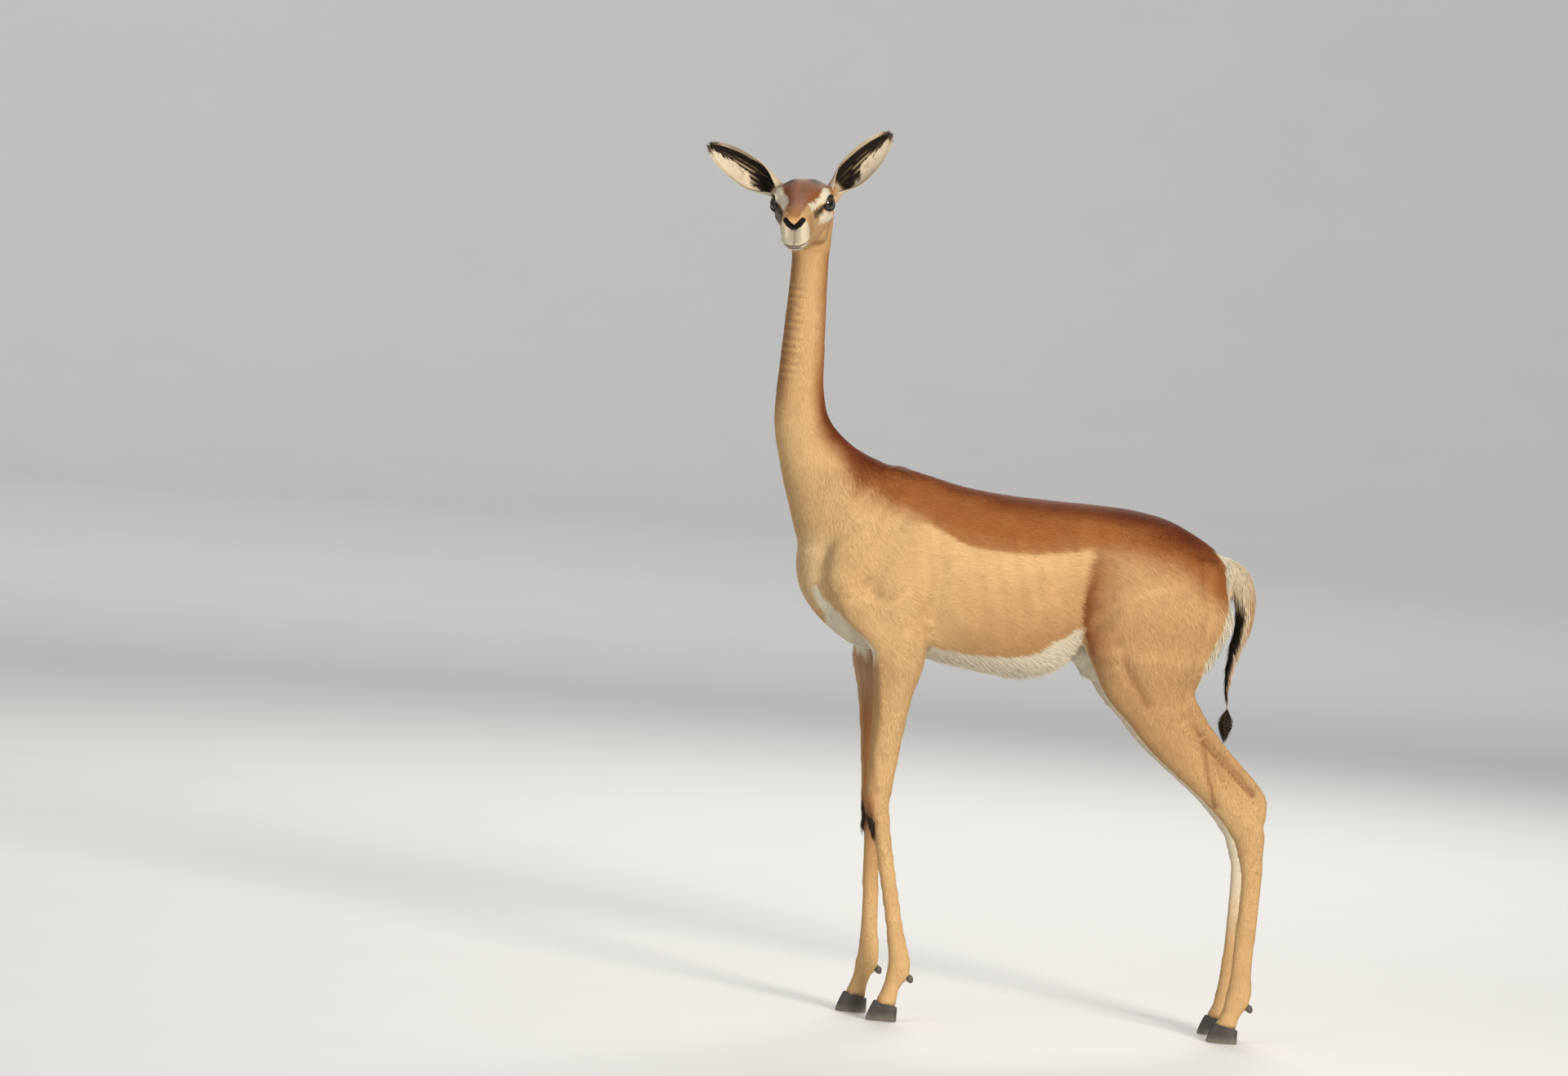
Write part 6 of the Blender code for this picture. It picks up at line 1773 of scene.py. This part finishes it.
def growOverSkin(name, test, form, slot, runOf, marksOf):
    roots, facing, flow, rootMap = sampled(test, lambda p: np.full(len(p), form["density"]))
    count = len(roots)
    run = unit(runOf(roots, facing, flow))
    run = unit(run - facing * (run * facing).sum(axis=1)[:, None] + dice.normal(0, 0.06, (count, 3)))
    run = unit(run + facing * (form["stand"] * dice.uniform(0.5, 1.3, count))[:, None])
    length = dice.uniform(*form["length"], count)
    sag = (np.array((0.0, 0.0, -1.0)) * 0.25 - facing * form["stand"] * 0.5) * length[:, None]
    growHair(name, roots - facing * 0.0006, run, facing, length, form["width"]
        * dice.uniform(0.7, 1.3, count), sag,
             marksOf(roots, facing, count), 1.0 + dice.normal(0, 0.05, count), rootMap, slot, "longHair", 3)
    return count


def alongFlow(roots, facing, flow):
    return flow


def skinMarks(roots, facing, count):
    return markings(roots, facing)


def brushMarks(roots, facing, count):
    return plainMarks(count, black=0.9, rust=0.5, dark=0.5)


def brushArea(places):
    near = [np.linalg.norm((places - brushPlace(side) - (-0.004, -0.002 * side, 0.016))
        / (0.011, 0.0115, 0.023), axis=1) < 1
            for side in (-1, 1)]
    return (near[0] | near[1]) & (region(places) == 4)


def fringeArea(places):
    return (region(places) == 3) & (places[:, 2] < 0.775) & (places[:, 2] > 0.585)


def rumpArea(places):
    x, z = places[:, 0], places[:, 2]
    edge = np.interp(z, *markingForms["rumpWhite"])
    return (region(places) == 2) & (x > edge + 0.002) & (x < edge + 0.06) & (z > 0.625) & (z < 0.815)


def bellyArea(places):
    x, z = places[:, 0], places[:, 2]
    return ((region(places) == 2) & (z < np.interp(x, *markingForms["belly"]) - 0.004) & (x > -0.21)
        & (x < 0.055))


def growEarHair(side, name):
    form, rows = longHair["ear"], []
    for kind, count in (("backs", form["backs"]), ("edges", form["edges"]), ("cream", form["cream"])):
        for _ in range(count):
            share = dice.uniform(0.1, 0.985) if kind != "edges" else 0.99 - 0.89 * dice.uniform(0, 1) ** 1.5
            if kind == "backs":
                lateral, inside, length, towards, stand = (dice.uniform(-0.97, 0.97), False,
                    dice.uniform(0.006, 0.009), 0.0, 0.1)
            elif kind == "edges":
                lateral = dice.choice((-1, 1)) * dice.uniform(0.84, 0.99)
                inside, length, towards, stand = (True, dice.uniform(0.006, 0.011), 0.5 * np.sign(lateral),
                    0.2)
            else:
                lateral = dice.uniform(0.22, 0.92)
                share = min(share, 0.9)
                inside, length, towards, stand = True, dice.uniform(0.01, 0.021), -0.55, 0.16
            place, facing = earPoint(side, share, -side * lateral, inside)
            ahead, _ = earPoint(side, min(share + 0.01, 1.0), -side * lateral, inside)
            beside, _ = earPoint(side, share, -side * (lateral + 0.02), inside)
            run = (unit(ahead - place) + unit(beside - place) * (towards + dice.normal(0, 0.16)) + facing
                * stand)
            rows.append((*place, *facing, *unit(run), length * (0.6 + 0.5 * min(1.0, 4 * share)), share,
                lateral, float(inside),
                         {"backs": 0, "edges": 1, "cream": 2}[kind]))
    rows = np.array(rows)
    place, facing, run, length, share, lateral, inside, kind = (rows[:, :3], rows[:, 3:6], rows[:, 6:9],
        *rows[:, 9:].T)
    wave, fine = roughCloud(place, 0.012, 5) - 0.5, cloud(place, 0.003, 6) - 0.5
    marks = earMarkings(share, lateral, inside, wave, fine)
    cream = (kind == 2) | ((kind == 1) & (share < 0.9))
    tips = ramp(0.89, 0.965, share + wave * 0.07)
    marks["white"] = np.where(cream, (0.72 + 0.5 * wave) * (1 - tips), marks["white"])
    marks["black"] = np.where(cream, 0.8 * tips + 0.1 * (kind == 1), marks["black"])
    marks["rust"] = np.where(cream, 0.1 + 0.3 * tips, marks["rust"])
    marks = {key: np.clip(values, 0, 1) for key, values in marks.items()}
    kept = (kind < 2) | (ramp(0.5, 0.62, lateral + wave * 0.5 + 0.45 * bump(share, 0.56, 0.16)) > 0.4)
    count = int(kept.sum())
    rootMap = np.stack([0.02 + 0.3 * (lateral + 1.1) / 2.2 + 0.34 * inside, 0.03 + 0.9 * share], axis=1)
    thick = form["width"] * np.where(kind == 2, 1.25, 1.0) * dice.uniform(0.8, 1.3, len(kind))
    sag = -facing * (length * np.where(kind == 2, 0.1, 0.05))[:, None]
    growHair(name, (place - facing * 0.0003)[kept], run[kept], facing[kept], length[kept], thick[kept],
        sag[kept],
             {key: values[kept] for key, values in marks.items()},
             (1.0 + dice.normal(0, 0.05, len(kind)))[kept],
             rootMap[kept], "ear_skin", "longHair", 2)


def growLashes():
    form, rows = longHair["lashes"], []
    for side in (left, right):
        centre, looks, inner, up = eyeFrame(side)
        wide, high = (math.tan(math.radians(angle)) for angle in eyeForms["opening"])
        for k in range(form["count"]):
            angle = math.radians(mix(12.0, 172.0, (k + dice.uniform(0, 1)) / form["count"]))
            a, b = math.cos(angle), math.sin(angle)
            size = 1.08 / (abs(a) ** 1.7 + abs(b) ** 1.7) ** (1 / 1.7)
            a, b = a * size / (0.9 if a > 0 else 1.0), b * size
            away = unit(looks + inner * (a * wide) + up * (b * high))
            place = centre + away * (eyeForms["radius"] + eyeForms["rim"] - 0.0004)
            run = unit(away * 0.85 + up * 0.1 - inner * 0.35 + looks * 0.55)
            rows.append((*place, *unit(up + away), *run, form["length"] * (0.55 + 0.45 * math.sin(angle)),
                *away))
    rows = np.array(rows)
    count, length = len(rows), rows[:, 9] * dice.uniform(0.8, 1.1, len(rows))
    growHair("lashes", rows[:, :3], rows[:, 6:9], rows[:, 3:6], length, np.full(count, form["width"]),
             np.array((0.0, 0.0, -0.25)) * length[:, None], plainMarks(count, black=1.0), np.ones(count),
             dice.uniform(0.05, 0.95, (count, 2)), "coat_black", "longHair", 4)


def growWhiskers():
    form, rows = longHair["whiskers"], []
    for out in (-1, 1):
        for _ in range(form["count"]):
            ahead, up = dice.uniform(0.128, 0.162), dice.uniform(-0.05, -0.02)
            place = headPoint(ahead, out * 0.0205, up)
            vertex = np.argmin(np.linalg.norm(skinPlaces - place, axis=1))
            run = headForward * 0.35 + headLeft * out * 0.8 - headUp * dice.uniform(0.3, 0.8)
            rows.append((*skinPlaces[vertex], *skinNormals[vertex], *unit(run), form["length"]
                * dice.uniform(0.5, 1.0)))
    rows = np.array(rows)
    count = len(rows)
    growHair("whiskers", rows[:, :3], rows[:, 6:9], rows[:, 3:6], rows[:, 9], np.full(count, form["width"]),
             np.array((0.0, 0.0, -0.12)) * rows[:, 9:10], plainMarks(count, black=0.75, rust=0.3),
             np.ones(count),
             dice.uniform(0.05, 0.95, (count, 2)), "coat_black", "longHair", 4)


growTailTuft()
growOverSkin("tailFringe", fringeArea, longHair["fringe"], "coat_white", alongFlow, skinMarks)
growOverSkin("kneeBrushes", brushArea, longHair["brush"], "coat_black", alongFlow, brushMarks)
growOverSkin("rumpHair", rumpArea, longHair["rump"], "coat_white", alongFlow, skinMarks)
growOverSkin("bellyHair", bellyArea, longHair["belly"], "coat_white", alongFlow, skinMarks)
growEarHair(left, "earHairLeft")
growEarHair(right, "earHairRight")
growLashes()
growWhiskers()
print("long hair ready")


fleshNodes = [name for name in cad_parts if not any(word in name for word in ("eye_", "ear_", "hoof",
    "tail_tuft"))]
places, normals = placesOf(skin.data), normalsOf(skin.data)
keepMarkings(skin.data, markings(places, normals), np.full(len(places), 0.6), np.ones(len(places)))
settle(skin, "coat_tan", "skin", *fleshNodes)
